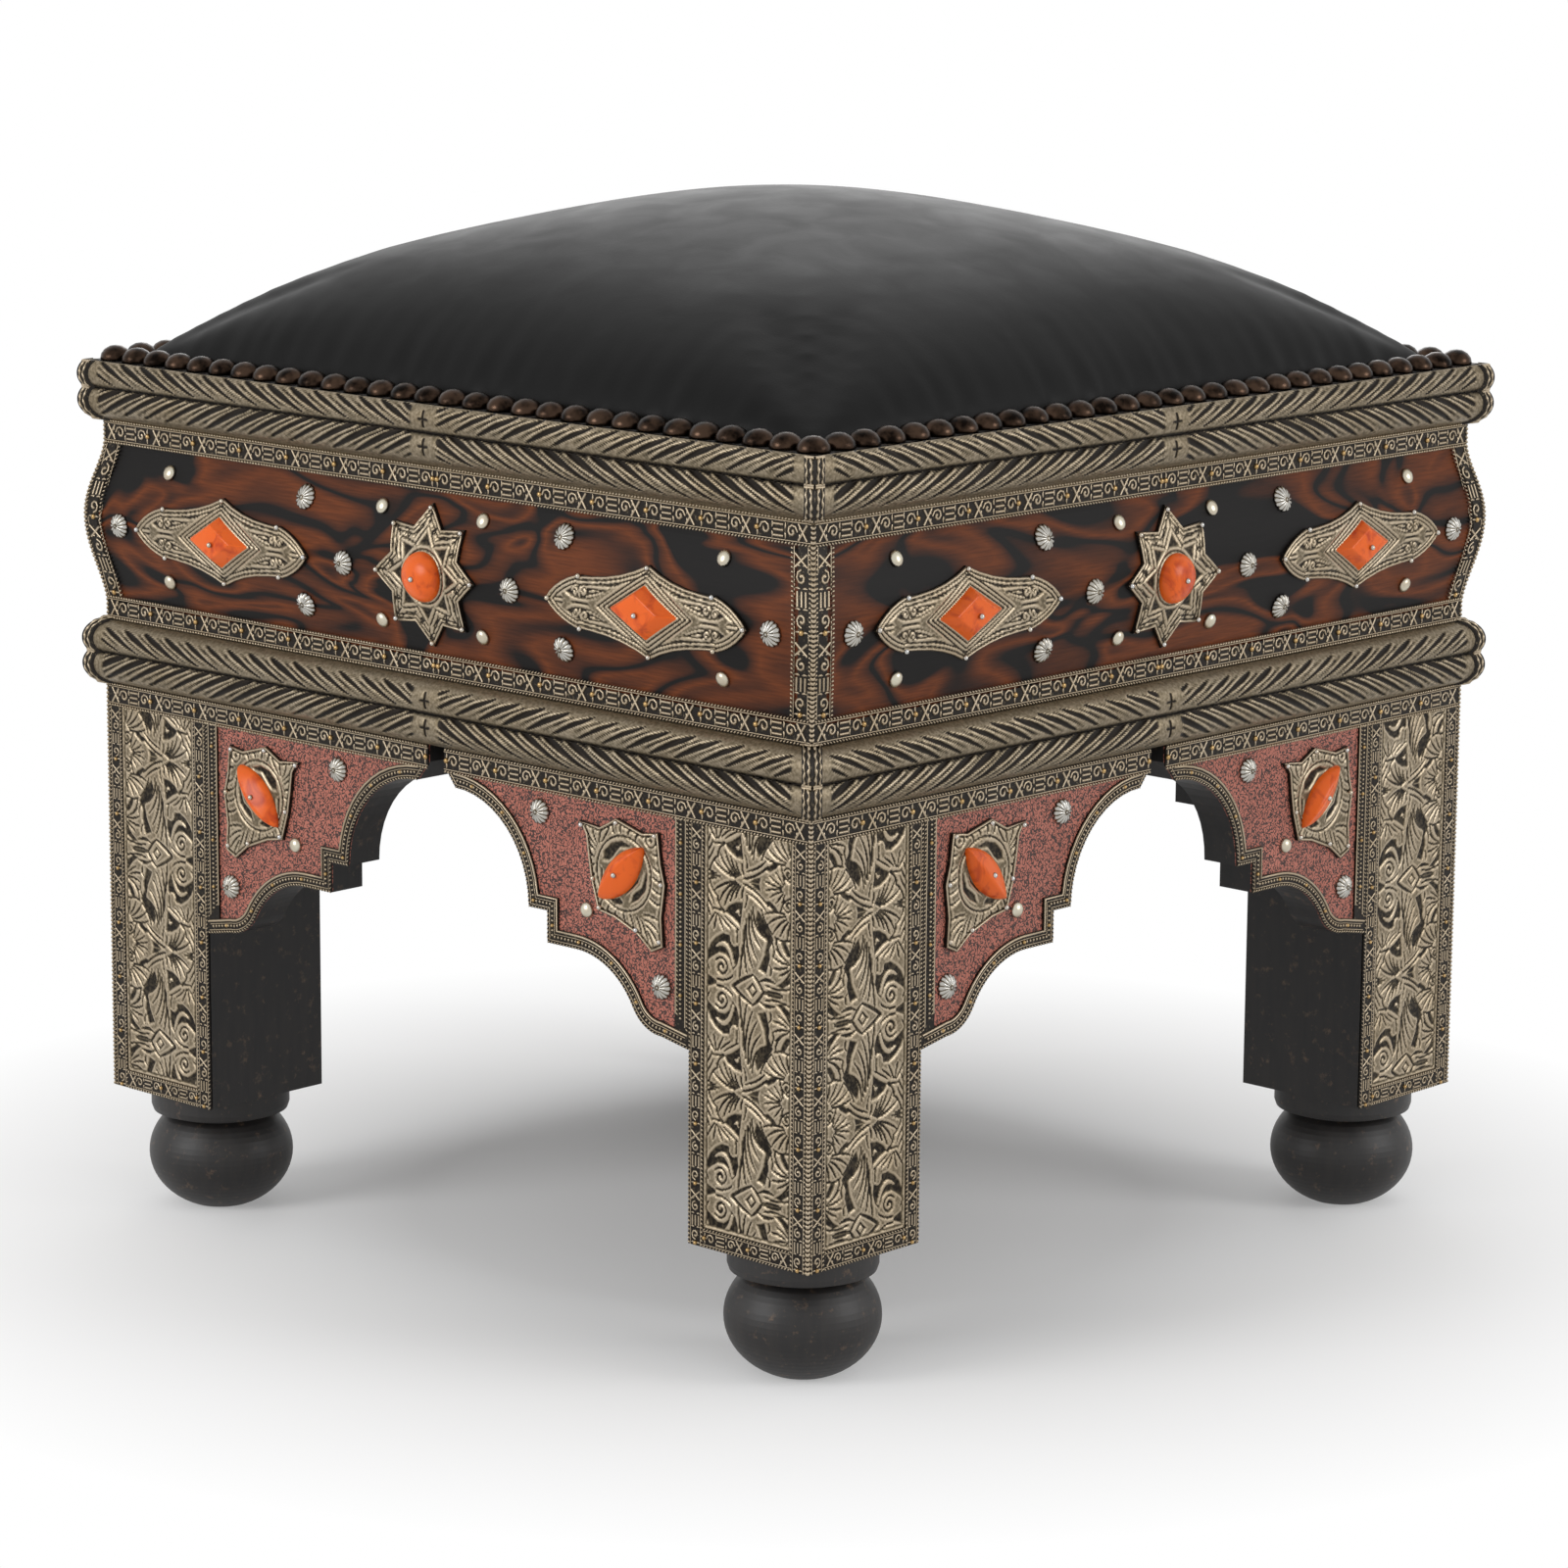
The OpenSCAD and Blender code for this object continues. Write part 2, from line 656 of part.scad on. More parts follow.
module upper_moulding_sheaths() {
    color(nickel) for (k = sides) sheath(k, upper_z, upper_moulding_h, upper_bead_z);
}

// Strap bent over both beads and across a mitre
module mitre_strap(k, z, h, bead_z) {
    corner(k) intersection() {
        union() {
            strap_half(z, h, bead_z);
            mirror([1, 1, 0]) strap_half(z, h, bead_z);
        }
        rotate([0, 0, -quarter / 2]) translate([0, -strap_w / 2, z]) cube([2 * reach, strap_w, h]);
    }
}

module strap_half(z, h, bead_z) {
    mitred_run(z, 0) difference() {
        beads_2d(h, bead_z, strap_t);
        beads_2d(h, bead_z, 0);
    }
}

module mitre_straps() {
    color(nickel) for (k = sides) {
        mitre_strap(k, lower_z, lower_moulding_h, lower_bead_z);
        mitre_strap(k, upper_z, upper_moulding_h, upper_bead_z);
    }
}

// Thin sheet that follows the swell between two heights
module swell_sheet_2d(low, high, t) {
    polygon(concat(swell_line(low, high, 0), reversed(swell_line(low, high, t))));
}

// Frame of strips on each apron: the upright ones keep their width along the swelled mitres
module frieze_strips() {
    color(nickel) for (k = sides) side(k) {
        mitred_run(apron_z, sheet_gap) swell_sheet_2d(0, strip_w - sheet_gap, strip_t);
        mitred_run(apron_z, sheet_gap) swell_sheet_2d(apron_h - strip_w + sheet_gap, apron_h, strip_t);
        difference() {
            mitred_run(apron_z, sheet_gap) swell_sheet_2d(strip_w, apron_h - strip_w, strip_t);
            mitre_room(strip_w);
        }
    }
}

module skirt_strips() {
    color(nickel) for (k = sides) side(k) halves() intersection() {
        side_run(lower_z, arch_gap / 2, half_w + strip_w)
            translate([plate_t, -skirt_w]) square([strip_t, skirt_w]);
        mitre_room(sheet_gap);
    }
}

module leg_plates() {
    color(nickel) for (k = sides) side(k) halves() intersection() {
        side_run(foot_h, leg_in, half_w + strip_w) square([plate_t, leg_h]);
        mitre_room(sheet_gap);
    }
}

// Three-sided frame of strips on each outer face of a leg
module leg_frame_strips() {
    inner_w = leg_w - 2 * strip_w;
    color(nickel) for (k = sides) side(k) halves() difference() {
        intersection() {
            side_run(foot_h, leg_in, half_w + strip_w)
                translate([plate_t, 0]) square([strip_t, leg_h - skirt_w - sheet_gap]);
            mitre_room(sheet_gap);
        }
        translate([half_w, leg_in + strip_w, foot_h + strip_w]) cube([board_t, inner_w, leg_h]);
    }
}

module bracket_panels() {
    color(red_lacquer) for (k = sides) side(k) halves() difference() {
        face_sheet(half_w, plate_t) intersection() {
            polygon(concat(arch_line(0), [[leg_in, lower_z]]));
            square([leg_in - sheet_gap, lower_z]);
        }
        bracket_holes();
    }
}

module bracket_edge_strips() {
    top_z = lower_z - skirt_w - sheet_gap;
    color(nickel) for (k = sides) side(k) halves() face_sheet(half_w + plate_t, strip_t) intersection() {
        difference() {
            polygon(concat(arch_line(0), [[leg_in, lower_z]]));
            polygon(concat(arch_line(arch_strip_w), [[leg_in, lower_z]]));
        }
        translate([arch_gap / 2, 0]) square([arch_run - sheet_gap, top_z]);
    }
}

module bracket_stile_strips() {
    top_z = lower_z - skirt_w - sheet_gap;
    color(nickel) for (k = sides) side(k) halves() face_sheet(half_w + plate_t, strip_t) intersection() {
        polygon(concat(arch_line(arch_strip_w + sheet_gap), [[leg_in, lower_z]]));
        translate([leg_in - strip_w, 0]) square([strip_w - sheet_gap, top_z]);
    }
}

// Frieze plaque: the outline of the children cut from a sheet that follows the swell
module frieze_plaque(s, len) {
    intersection() {
        side_run(apron_z, s - len / 2, s + len / 2)
            swell_sheet_2d(swell_land, apron_h - swell_land, plaque_t);
        translate([0, s, apron_z + frieze_mid]) face_sheet(board_in, 2 * board_t) children();
    }
}

module frieze_pins() {
    for (d = [-1, 1], p = lozenge_pins) on_frieze([d * lozenge_x, frieze_mid] + p, plaque_t) children();
    for (p = star_pins) on_frieze([0, frieze_mid] + p, plaque_t) children();
}

module frieze_stones() {
    for (s = [-lozenge_x, 0, lozenge_x]) on_frieze([s, frieze_mid], plaque_t) children();
}

module lozenge_plaques() {
    color(nickel) for (k = sides) side(k) difference() {
        for (s = [-lozenge_x, lozenge_x]) frieze_plaque(s, lozenge_len + cut) polygon(lozenge_outline);
        frieze_pins() shank_hole(pin_shank_d, pin_shank_len);
        frieze_stones() shank_hole(pin_shank_d, pin_shank_len);
    }
}

module star_plaques() {
    color(nickel) for (k = sides) side(k) difference() {
        frieze_plaque(0, star_d + cut) polygon(star_outline);
        frieze_pins() shank_hole(pin_shank_d, pin_shank_len);
        frieze_stones() shank_hole(pin_shank_d, pin_shank_len);
    }
}

module scroll_plaques() {
    color(nickel) for (k = sides) side(k) halves() difference() {
        translate([0, bracket_stone[0], bracket_stone[1]]) face_sheet(half_w + plate_t, plaque_t)
            polygon(scroll_outline);
        bracket_holes();
    }
}

// Stones, each drilled for its pin
stone_seat = 0.3;
lozenge_table_share = 0.7;

module lozenge_stones() {
    half_len = lozenge_stone_len / 2;
    half_wide = lozenge_stone_w / 2;
    color(coral) for (k = sides, s = [-lozenge_x, lozenge_x]) side(k)
        on_frieze([s, frieze_mid], plaque_t + stone_seat) difference() {
            rotate([quarter, 0, quarter]) linear_extrude(height = stone_t, scale = lozenge_table_share)
                polygon([[half_len, 0], [0, half_wide], [-half_len, 0], [0, -half_wide]]);
            shank_hole(pin_shank_d, pin_shank_len);
        }
}

module round_stones() {
    cap_r = (round_stone_d * round_stone_d / 4 + round_stone_t * round_stone_t) / (2 * round_stone_t);
    color(coral) for (k = sides) side(k) on_frieze([0, frieze_mid], plaque_t + stone_seat)
        rotate([0, quarter, 0]) rotate_extrude($fn = round_fn) difference() {
            intersection() {
                translate([0, round_stone_t - cap_r]) circle(r = cap_r, $fn = 2 * round_fn);
                square([round_stone_d, round_stone_t]);
            }
            square([pin_shank_d / 2 + fit_gap, board_t]);
        }
}

module oval_2d() {
    bow_r = (oval_stone_len * oval_stone_len + oval_stone_w * oval_stone_w) / (4 * oval_stone_w);
    rotate(oval_angle) intersection() {
        translate([0, bow_r - oval_stone_w / 2]) circle(r = bow_r, $fn = 2 * round_fn);
        translate([0, oval_stone_w / 2 - bow_r]) circle(r = bow_r, $fn = 2 * round_fn);
    }
}

module oval_stones() {
    dome_r = oval_stone_len;
    color(coral) for (k = sides) side(k) halves() on_face(bracket_stone, plate_t + plaque_t)
        difference() {
            intersection() {
                face_sheet(0, stone_t) oval_2d();
                translate([stone_t - dome_r, 0, 0]) sphere(r = dome_r, $fn = 2 * round_fn);
            }
            shank_hole(pin_shank_d, pin_shank_len);
        }
}

// Nails, pins and screws
module seat_nails() {
    color(bronze) for (k = sides) side(k) seat_nail_row(seat_nails_per_side - 1)
        translate([0, 0, leather_t + fit_gap]) rotate([0, -quarter, 0])
            nail(seat_nail_d, seat_nail_t, shank_d, shank_len + leather_t);
}

module fluted_nails() {
    color(silver) for (k = sides) side(k) {
        for (p = fluted_places)
            on_frieze(p, fit_gap) nail(fluted_nail_d, trim_nail_t, shank_d, shank_len);
        halves() for (p = bracket_fluted)
            on_face(p, plate_t + fit_gap) nail(fluted_nail_d, trim_nail_t, shank_d, shank_len);
    }
}

module plain_nails() {
    color(silver) for (k = sides) side(k) {
        for (p = plain_places) on_frieze(p, fit_gap) nail(plain_nail_d, trim_nail_t, shank_d, shank_len);
        halves()
            on_face(bracket_plain, plate_t + fit_gap) nail(plain_nail_d, trim_nail_t, shank_d, shank_len);
    }
}

module ball_pin(through) {
    translate([through + fit_gap, 0, 0]) nail(pin_d, pin_t, pin_shank_d, pin_shank_len + through);
}

module ball_pins() {
    color(silver) for (k = sides) side(k) {
        frieze_pins() ball_pin(0);
        for (s = [-lozenge_x, lozenge_x])
            on_frieze([s, frieze_mid], plaque_t) ball_pin(stone_t + stone_seat);
        on_frieze([0, frieze_mid], plaque_t) ball_pin(round_stone_t + stone_seat);
        halves() {
            for (p = scroll_pins) on_face(bracket_stone + p, plate_t + plaque_t) ball_pin(0);
            on_face(bracket_stone, plate_t + plaque_t) ball_pin(stone_t);
        }
    }
}

module cleat_screws() {
    color(bronze) for (k = sides) side(k) screws() screw(0);
}

leg(0);  // leg_front_right
leg(1);  // leg_back_right
leg(2);  // leg_back_left
leg(3);  // leg_front_left
foot(0);  // foot_front_right
foot(1);  // foot_back_right
foot(2);  // foot_back_left
foot(3);  // foot_front_left
rail(0);  // rail_front
rail(1);  // rail_right
rail(2);  // rail_back
rail(3);  // rail_left
apron(0);  // apron_front
apron(1);  // apron_right
apron(2);  // apron_back
apron(3);  // apron_left
bracket(0, 1);  // bracket_front_left
bracket(0, 0);  // bracket_front_right
bracket(1, 1);  // bracket_right_front
bracket(1, 0);  // bracket_right_back
bracket(2, 1);  // bracket_back_right
bracket(2, 0);  // bracket_back_left
bracket(3, 1);  // bracket_left_back
bracket(3, 0);  // bracket_left_front
lower_moulding(0);  // lower_moulding_front
lower_moulding(1);  // lower_moulding_right
lower_moulding(2);  // lower_moulding_back
lower_moulding(3);  // lower_moulding_left
upper_moulding(0);  // upper_moulding_front
upper_moulding(1);  // upper_moulding_right
upper_moulding(2);  // upper_moulding_back
upper_moulding(3);  // upper_moulding_left
cleat(0);  // cleat_front
cleat(1);  // cleat_right
cleat(2);  // cleat_back
cleat(3);  // cleat_left
seat_board();
seat_stuffing();
seat_leather();
lower_moulding_sheaths();
upper_moulding_sheaths();
mitre_straps();
frieze_strips();
skirt_strips();
leg_plates();
leg_frame_strips();
bracket_panels();
bracket_edge_strips();
bracket_stile_strips();
lozenge_plaques();
star_plaques();
scroll_plaques();
lozenge_stones();
round_stones();
oval_stones();
seat_nails();
fluted_nails();
plain_nails();
ball_pins();
cleat_screws();
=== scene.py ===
"""Finish of an upholstered footstool: chased metalwork, stones, nails, leather, stains and a studio."""

import math

import bmesh
import bpy
import numpy as np
from bpy.props import FloatProperty, FloatVectorProperty, IntProperty, PointerProperty
from mathutils import Matrix, Vector, noise


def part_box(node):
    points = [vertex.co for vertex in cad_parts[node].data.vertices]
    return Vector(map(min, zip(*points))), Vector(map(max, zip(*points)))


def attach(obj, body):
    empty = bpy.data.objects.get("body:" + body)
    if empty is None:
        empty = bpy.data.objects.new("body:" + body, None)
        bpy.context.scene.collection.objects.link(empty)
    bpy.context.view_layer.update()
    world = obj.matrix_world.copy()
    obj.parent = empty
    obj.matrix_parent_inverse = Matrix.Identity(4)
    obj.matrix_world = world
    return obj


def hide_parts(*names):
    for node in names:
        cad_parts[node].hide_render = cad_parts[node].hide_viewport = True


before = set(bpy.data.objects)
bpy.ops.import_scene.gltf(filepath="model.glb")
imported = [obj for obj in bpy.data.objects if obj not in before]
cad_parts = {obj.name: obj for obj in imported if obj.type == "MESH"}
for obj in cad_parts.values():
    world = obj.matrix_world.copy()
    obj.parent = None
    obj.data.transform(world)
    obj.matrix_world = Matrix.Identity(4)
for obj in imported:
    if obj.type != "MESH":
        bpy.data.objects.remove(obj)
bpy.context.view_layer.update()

bl_info = {
    "name": "Footstool finish",
    "version": (1, 0, 0),
    "blender": (4, 5, 0),
    "location": "View3D > Sidebar > Footstool",
    "description": "Chased metalwork, stones, nails, leather and stains for a square footstool",
    "category": "Object",
}

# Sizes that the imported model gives, in metres
MM = 0.001
BODY = "root"
LEG_IN, HALF_W = (corner.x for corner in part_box("leg_front_right"))
FOOT_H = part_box("leg_plates")[0].z
LOWER_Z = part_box("lower_moulding_front")[0].z
APRON_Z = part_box("apron_front")[0].z
UPPER_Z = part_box("upper_moulding_front")[0].z
SEAT_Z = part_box("upper_moulding_front")[1].z
LEATHER_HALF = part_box("seat_leather")[1].x
APRON_H = UPPER_Z - APRON_Z
PLATE_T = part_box("leg_plates")[1].x - HALF_W
STRIP_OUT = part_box("skirt_strips")[1].x - HALF_W
BEAD_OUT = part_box("lower_moulding_sheaths")[1].x - HALF_W
PLAQUE_Z = sum(corner.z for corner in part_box("lozenge_plaques")) / 2
SIDES = ("right", "back", "left", "front")
QUARTER = math.pi / 2

# Finishes of the sheet metal, and how rubbed its plain parts are, from 0 in the hollows to 1
METAL = ["embossed nickel silver"]
BEADED = METAL + ["gilt bead pin"]
DULL = ["dull nickel silver"]
SHEATH_TONE, PLATE_TONE, PLAQUE_TONE, WIRE_TONE = 0.35, 0.36, 0.27, 0.85
WHITE = (1, 1, 1, 1)

# The drawn half repeat of the leg plates' foliage, along and up, in millimetres
FOLIAGE_W, FOLIAGE_H = 57.8, 49.9


def linear(code):
    """Turns an sRGB hex colour into linear red, green and blue."""
    channels = [int(code[i : i + 2], 16) / 255 for i in (1, 3, 5)]
    return tuple(c / 12.92 if c <= 0.04045 else ((c + 0.055) / 1.055) ** 2.4 for c in channels)


def length(name, description, default_mm):
    """A size in a panel: shown as a length, and given here in millimetres."""
    return FloatProperty(
        name=name, description=description, default=default_mm * MM, unit="LENGTH", precision=5
    )


def colour(name, description, code):
    """A colour in a panel, given here as an sRGB hex value."""
    return FloatVectorProperty(
        name=name, description=description, default=linear(code), size=3, subtype="COLOR", min=0, max=1
    )


class MetalSizes(bpy.types.PropertyGroup):
    """Sizes of the chased and embossed metalwork."""

    bead_r: length("Bead radius", "Radius of the two beads of a moulding", 10.2)
    bead_pitch: length("Bead pitch", "Distance between the two beads", 13.6)
    lower_bead_z: length("Lower bead height", "Height of the first bead in the lower moulding", 10.2)
    upper_bead_z: length("Upper bead height", "Height of the first bead in the upper moulding", 12.4)
    fillet: length("Fillet", "How far the sheaths stand out below their beads", 1.2)
    grain: length("Grain", "Distance between the points of the chased sheets", 0.7)
    gouge_pitch: length("Gouge pitch", "Distance between the leaf gouges along a bead", 16.6)
    gouge_width: length("Gouge width", "Width of a leaf gouge", 3.5)
    gouge_depth: length("Gouge depth", "Depth of a leaf gouge", 0.75)
    gouge_rim: length("Gouge rim", "Height of the metal pushed up beside a gouge", 0.3)
    gouge_slope: FloatProperty(
        name="Gouge slope", description="Angle between a gouge and its bead", default=math.radians(25),
        subtype="ANGLE",
    )
    engraving: length("Engraving depth", "Depth of the engraved foliage of the leg plates", 0.7)
    engraving_grain: length("Engraving grain", "Distance between the points of the leg plates", 0.63)
    foliage: length("Foliage repeat", "Distance between the palmettes of the leg plates", 103.2)
    plate_shift_ends: length("Front foliage", "Start of the foliage on the front and back leg plates", 83.9)
    plate_shift_flanks: length("Side foliage", "Start of the foliage on the left and right leg plates", 97.4)
    strip_w: length("Leg strip width", "Width of the strips on the legs", 9.6)
    frieze_w: length("Frieze strip width", "Width of the strips round the friezes", 12.8)
    skirt_w: length("Skirt strip width", "Width of the strip below the lower moulding", 12.6)
    skirt_gap: length("Skirt gap", "Distance of the strip below the moulding from its side's middle", 6)
    frieze_sheet: length("Frieze sheet", "Thickness of the sheet under the frieze strips' ornament", 1.1)
    tile: length("Strip repeat", "Length of one repeat of an ornament on a strip 10 mm wide", 30)
    lap: length("Lap", "How far the frieze strips reach up behind the upper moulding", 2.2)
    rope_pitch: length("Rope pitch", "Distance between the twists of a rope edge", 2.1)
    relief: length("Relief", "Height of the embossed lines over their ground", 0.7)


class TrimSizes(bpy.types.PropertyGroup):
    """Sizes of plaques, stones and nails."""

    lozenge_x: length("Lozenge place", "Distance of a lozenge plaque from the middle of its side", 153)
    lozenge_stone_len: length("Lozenge stone length", "Length of the lozenge stones", 46.6)
    lozenge_stone_h: length("Lozenge stone height", "Height of the lozenge stones", 27.6)
    round_stone_d: length("Round stone diameter", "Diameter of the round stones", 25.4)
    oval_stone_len: length("Pointed oval stone length", "Length of the pointed oval stones", 41)
    oval_stone_w: length("Pointed oval stone width", "Width of the pointed oval stones", 17)
    scroll_w: length("Scroll plaque width", "Width of the scroll plaques", 59)
    fluted_nail_d: length("Fluted nail diameter", "Diameter of the fluted nails", 13)
    plain_nail_d: length("Plain nail diameter", "Diameter of the plain nails", 8)
    ball_pin_d: length("Ball pin diameter", "Diameter of the heads of the ball pins", 3)
    petals: IntProperty(name="Petals", description="Petals of a fluted nail", default=14, min=6, max=24)


class SeatSizes(bpy.types.PropertyGroup):
    """Sizes of the leather seat and its nails."""

    edge: length("Seat edge", "Distance from the leather's cut edge to the foot of the crown", 7)
    shoulder: length("Shoulder height", "Height of the steep shoulders of the seat", 63)
    crown: length("Crown height", "Height of the crown over the shoulders", 27.5)
    voxel: length("Cloth spacing", "Distance between the points of the leather while it is inflated", 6)
    slack: length("Slack", "How much lower the leather starts than it ends", 5)
    cap: length("Travel", "The most that the leather may move while it is inflated", 7)
    pleat: length("Pleat depth", "Depth of the pleats beside the nails", 1.7)
    nail_d: length("Seat nail diameter", "Diameter of the seat nails", 16.8)
    nail_h: length("Seat nail height", "Height of the seat nails", 7.6)
    nail_row: length("Seat nail row", "Distance of the row of seat nails from the middle", 249)
    nails: IntProperty(name="Seat nails", description="Seat nails from corner to corner", default=29, min=8)


class Colours(bpy.types.PropertyGroup):
    """Colours of the finishes."""

    metal_light: colour("Rubbed metal", "Raised parts of the nickel silver", "#b8ab97")
    metal_mid: colour("Dull metal", "Plain parts of the nickel silver", "#6f6553")
    metal_dark: colour("Tarnish", "Hollows of the nickel silver", "#1c1712")
    metal_film: colour("Metal film", "Film that dulls the metal in patches", "#e5ddce")
    gilt: colour("Gilt", "Bead pins of the strips", "#b3976a")
    silver: colour("White metal", "Fluted nails and ball pins", "#bdbdbb")
    pearl: colour("Satin white metal", "Plain nails", "#c9c4b2")
    bronze: colour("Bronze", "Seat nails", "#130e0b")
    bronze_worn: colour("Worn bronze", "Rubbed tops of the seat nails", "#43342a")
    coral: colour("Coral", "The stones", "#ee6618")
    coral_deep: colour("Deep coral", "Veins of the stones", "#b83606")
    lacquer: colour("Red lacquer", "Ground of the bracket panels", "#bd7463")
    lacquer_film: colour("Lacquer film", "Film that dulls the lacquer in patches", "#ddcbbf")
    stipple: colour("Stipple", "Marks on the bracket panels", "#361810")
    wood_red: colour("Red wood", "Pale figure of the friezes", "#6f3819")
    wood_brown: colour("Brown wood", "Middle figure of the friezes", "#3c1e10")
    wood_black: colour("Black figure", "Dark bands of the friezes", "#0a0706")
    stain: colour("Black stain", "Legs, feet, brackets and rails", "#1d1917")
    stain_deep: colour("Stain in the grain", "Grain of the black stained wood", "#121010")
    stain_worn: colour("Worn stain", "Where the black stain is rubbed", "#5d4a3a")
    leather: colour("Leather", "Seat cover", "#050505")
    bare_wood: colour("Bare wood", "Boards inside the seat", "#8a6a48")
    bare_deep: colour("Bare wood grain", "Grain of the boards inside the seat", "#594535")
    floor: colour("Floor", "Floor of the studio", "#f6f6f6")


class StudioSettings(bpy.types.PropertyGroup):
    """Camera and lights."""

    lens: FloatProperty(
        name="Lens", description="Focal length in millimetres on a 36 mm sensor", default=119.347
    )
    key: FloatProperty(name="Key light", description="Power of the back softbox", default=9, subtype="POWER")
    front: FloatProperty(
        name="Front light", description="Power of the front softboxes", default=24, subtype="POWER"
    )
    ambient: FloatProperty(name="Ambient", description="Strength of the light from above", default=0.6)


def settings(group):
    """The scene's settings of one group."""
    return getattr(bpy.context.scene, "footstool_" + group)


def rgba(group_colour):
    """A panel colour with full alpha."""
    return (*group_colour, 1)


# Meshes
def gathered(parts):
    """One mesh from pairs of a mesh and the matrix that places it; the given meshes are left as they are."""
    bm = bmesh.new()
    for mesh, matrix in parts:
        copy = mesh.copy()
        copy.transform(matrix)
        if matrix.determinant() < 0:
            copy.flip_normals()
        bm.from_mesh(copy)
        bpy.data.meshes.remove(copy)
    return poured(bm)


def poured(bm):
    """A mesh from a bmesh, which is freed."""
    mesh = bpy.data.meshes.new("part")
    bm.to_mesh(mesh)
    bm.free()
    return mesh


def rim_edges(bm):
    """The open edges of a sheet."""
    return [e for e in bm.edges if e.is_boundary]


def vertices(geom):
    """The vertices among what an operator made."""
    return [g for g in geom if isinstance(g, bmesh.types.BMVert)]


def drawn_down(bm, height):
    """Extrudes the open edges of a sheet to a height, and gives the vertices there."""
    foot = vertices(bmesh.ops.extrude_edge_only(bm, edges=rim_edges(bm))["geom"])
    for vertex in foot:
        vertex.co.z = height
    return foot


def shut(bm):
    """A mesh from a bmesh whose last opening is filled, with its faces pointing outwards."""
    bmesh.ops.holes_fill(bm, edges=rim_edges(bm), sides=0)
    bmesh.ops.recalc_face_normals(bm, faces=bm.faces)
    return poured(bm)


def toned(mesh, values):
    """Keeps how raised or rubbed each point is as the attribute relief, which the finishes read; on the
    moulding sheaths it also holds painted shade in the valley between the beads.
    """
    relief = mesh.attributes.new("relief", "FLOAT", "POINT")
    relief.data.foreach_set("value", np.asarray(values, np.float32))
    return mesh


def places_of(mesh):
    """Places of a mesh's points, one in each row."""
    co = np.empty(len(mesh.vertices) * 3, np.float32)
    mesh.vertices.foreach_get("co", co)
    return co.reshape(-1, 3)


def joined(node):
    """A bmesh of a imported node, with its loose triangles joined."""
    bm = bmesh.new()
    bm.from_mesh(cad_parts[node].data)
    bmesh.ops.remove_doubles(bm, verts=bm.verts, dist=MM / 1000)
    return bm


def painted(mesh, index):
    """Gives all faces of a mesh one material number."""
    mesh.polygons.foreach_set("material_index", [index] * len(mesh.polygons))
    return mesh


def ridges(strokes, flatten=1.0):
    """Tapering ridges along flat lines. A stroke is its points and its half widths, in millimetres."""
    curve = bpy.data.curves.new("ridges", "CURVE")
    curve.dimensions = "3D"
    curve.twist_mode = "Z_UP"
    curve.bevel_depth = 1
    curve.bevel_resolution = 0
    curve.use_fill_caps = True
    for points, radii in strokes:
        spline = curve.splines.new("POLY")
        spline.points.add(len(points) - 1)
        for point, place, radius in zip(spline.points, points, radii):
            point.co = (place[0], place[1], 0, 1)
            point.radius = radius
    carrier = bpy.data.objects.new("ridges", curve)
    mesh = bpy.data.meshes.new_from_object(carrier)
    bpy.data.objects.remove(carrier)
    bpy.data.curves.remove(curve)
    mesh.transform(Matrix.Diagonal((1, 1, flatten, 1)))
    return mesh


def ball(width, tall, across=None, turn=0.0, segments=6, rings=4):
    """A small squashed ball on the drawing plane, in millimetres."""
    bm = bmesh.new()
    bmesh.ops.create_uvsphere(bm, u_segments=segments, v_segments=rings, radius=1)
    size = Matrix.Diagonal((width / 2, (across or width) / 2, tall, 1))
    bm.transform(Matrix.Rotation(turn, 4, "Z") @ size)
    return poured(bm)


def turned(profile, steps):
    """A closed form spun round the Z axis from a profile of (radius, height) that starts and ends on it."""
    bm = bmesh.new()
    verts = [bm.verts.new((r, 0, z)) for r, z in profile]
    edges = [bm.edges.new(pair) for pair in zip(verts, verts[1:])]
    bmesh.ops.spin(
        bm, geom=verts + edges, axis=(0, 0, 1), cent=(0, 0, 0), steps=steps, angle=math.tau, use_merge=True
    )
    bmesh.ops.remove_doubles(bm, verts=bm.verts, dist=min(abs(r) for r, z in profile if r) * 0.01)
    bmesh.ops.recalc_face_normals(bm, faces=bm.faces)
    return poured(bm)


def at(u, v, w=0.0, turn=0.0):
    """Matrix for a place on the drawing plane of a side: along, up and out, in millimetres."""
    return Matrix.Translation((u, v, w)) @ Matrix.Rotation(turn, 4, "Z")


FLIP_U = Matrix.Diagonal((-1, 1, 1, 1))
SAME = Matrix.Identity(4)


def rise(node):
    """How far a packed sheet stands out from the side, in millimetres."""
    return (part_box(node)[1].x - HALF_W) / MM


def outline(node, u, v):
    """Edge of a packed sheet of the right side round a place: a loop of places along and up, which runs
    anticlockwise, in millimetres."""
    bm = joined(node)
    place = Vector((HALF_W, u * MM, v * MM))
    front = [f for f in bm.faces if f.normal.x > 0.8]
    seed = min(front, key=lambda f: (f.calc_center_median() - place).length)
    sheet, waiting = {seed}, [seed]
    while waiting:
        for edge in waiting.pop().edges:
            for face in edge.link_faces:
                if face not in sheet and face.normal.x > 0.8:
                    sheet.add(face)
                    waiting.append(face)
    rim = {e for f in sheet for e in f.edges if any(other not in sheet for other in e.link_faces)}
    loops = []
    while rim:
        edge = rim.pop()
        head = edge.verts[1]
        loop = [edge.verts[0], head]
        while edge := next((e for e in head.link_edges if e in rim), None):
            rim.remove(edge)
            head = edge.other_vert(head)
            loop.append(head)
        loops.append([(vert.co.y / MM, vert.co.z / MM) for vert in loop[:-1]])
    bm.free()
    loop = max(loops, key=lambda points: abs(area(points)))
    return loop if area(loop) > 0 else loop[::-1]


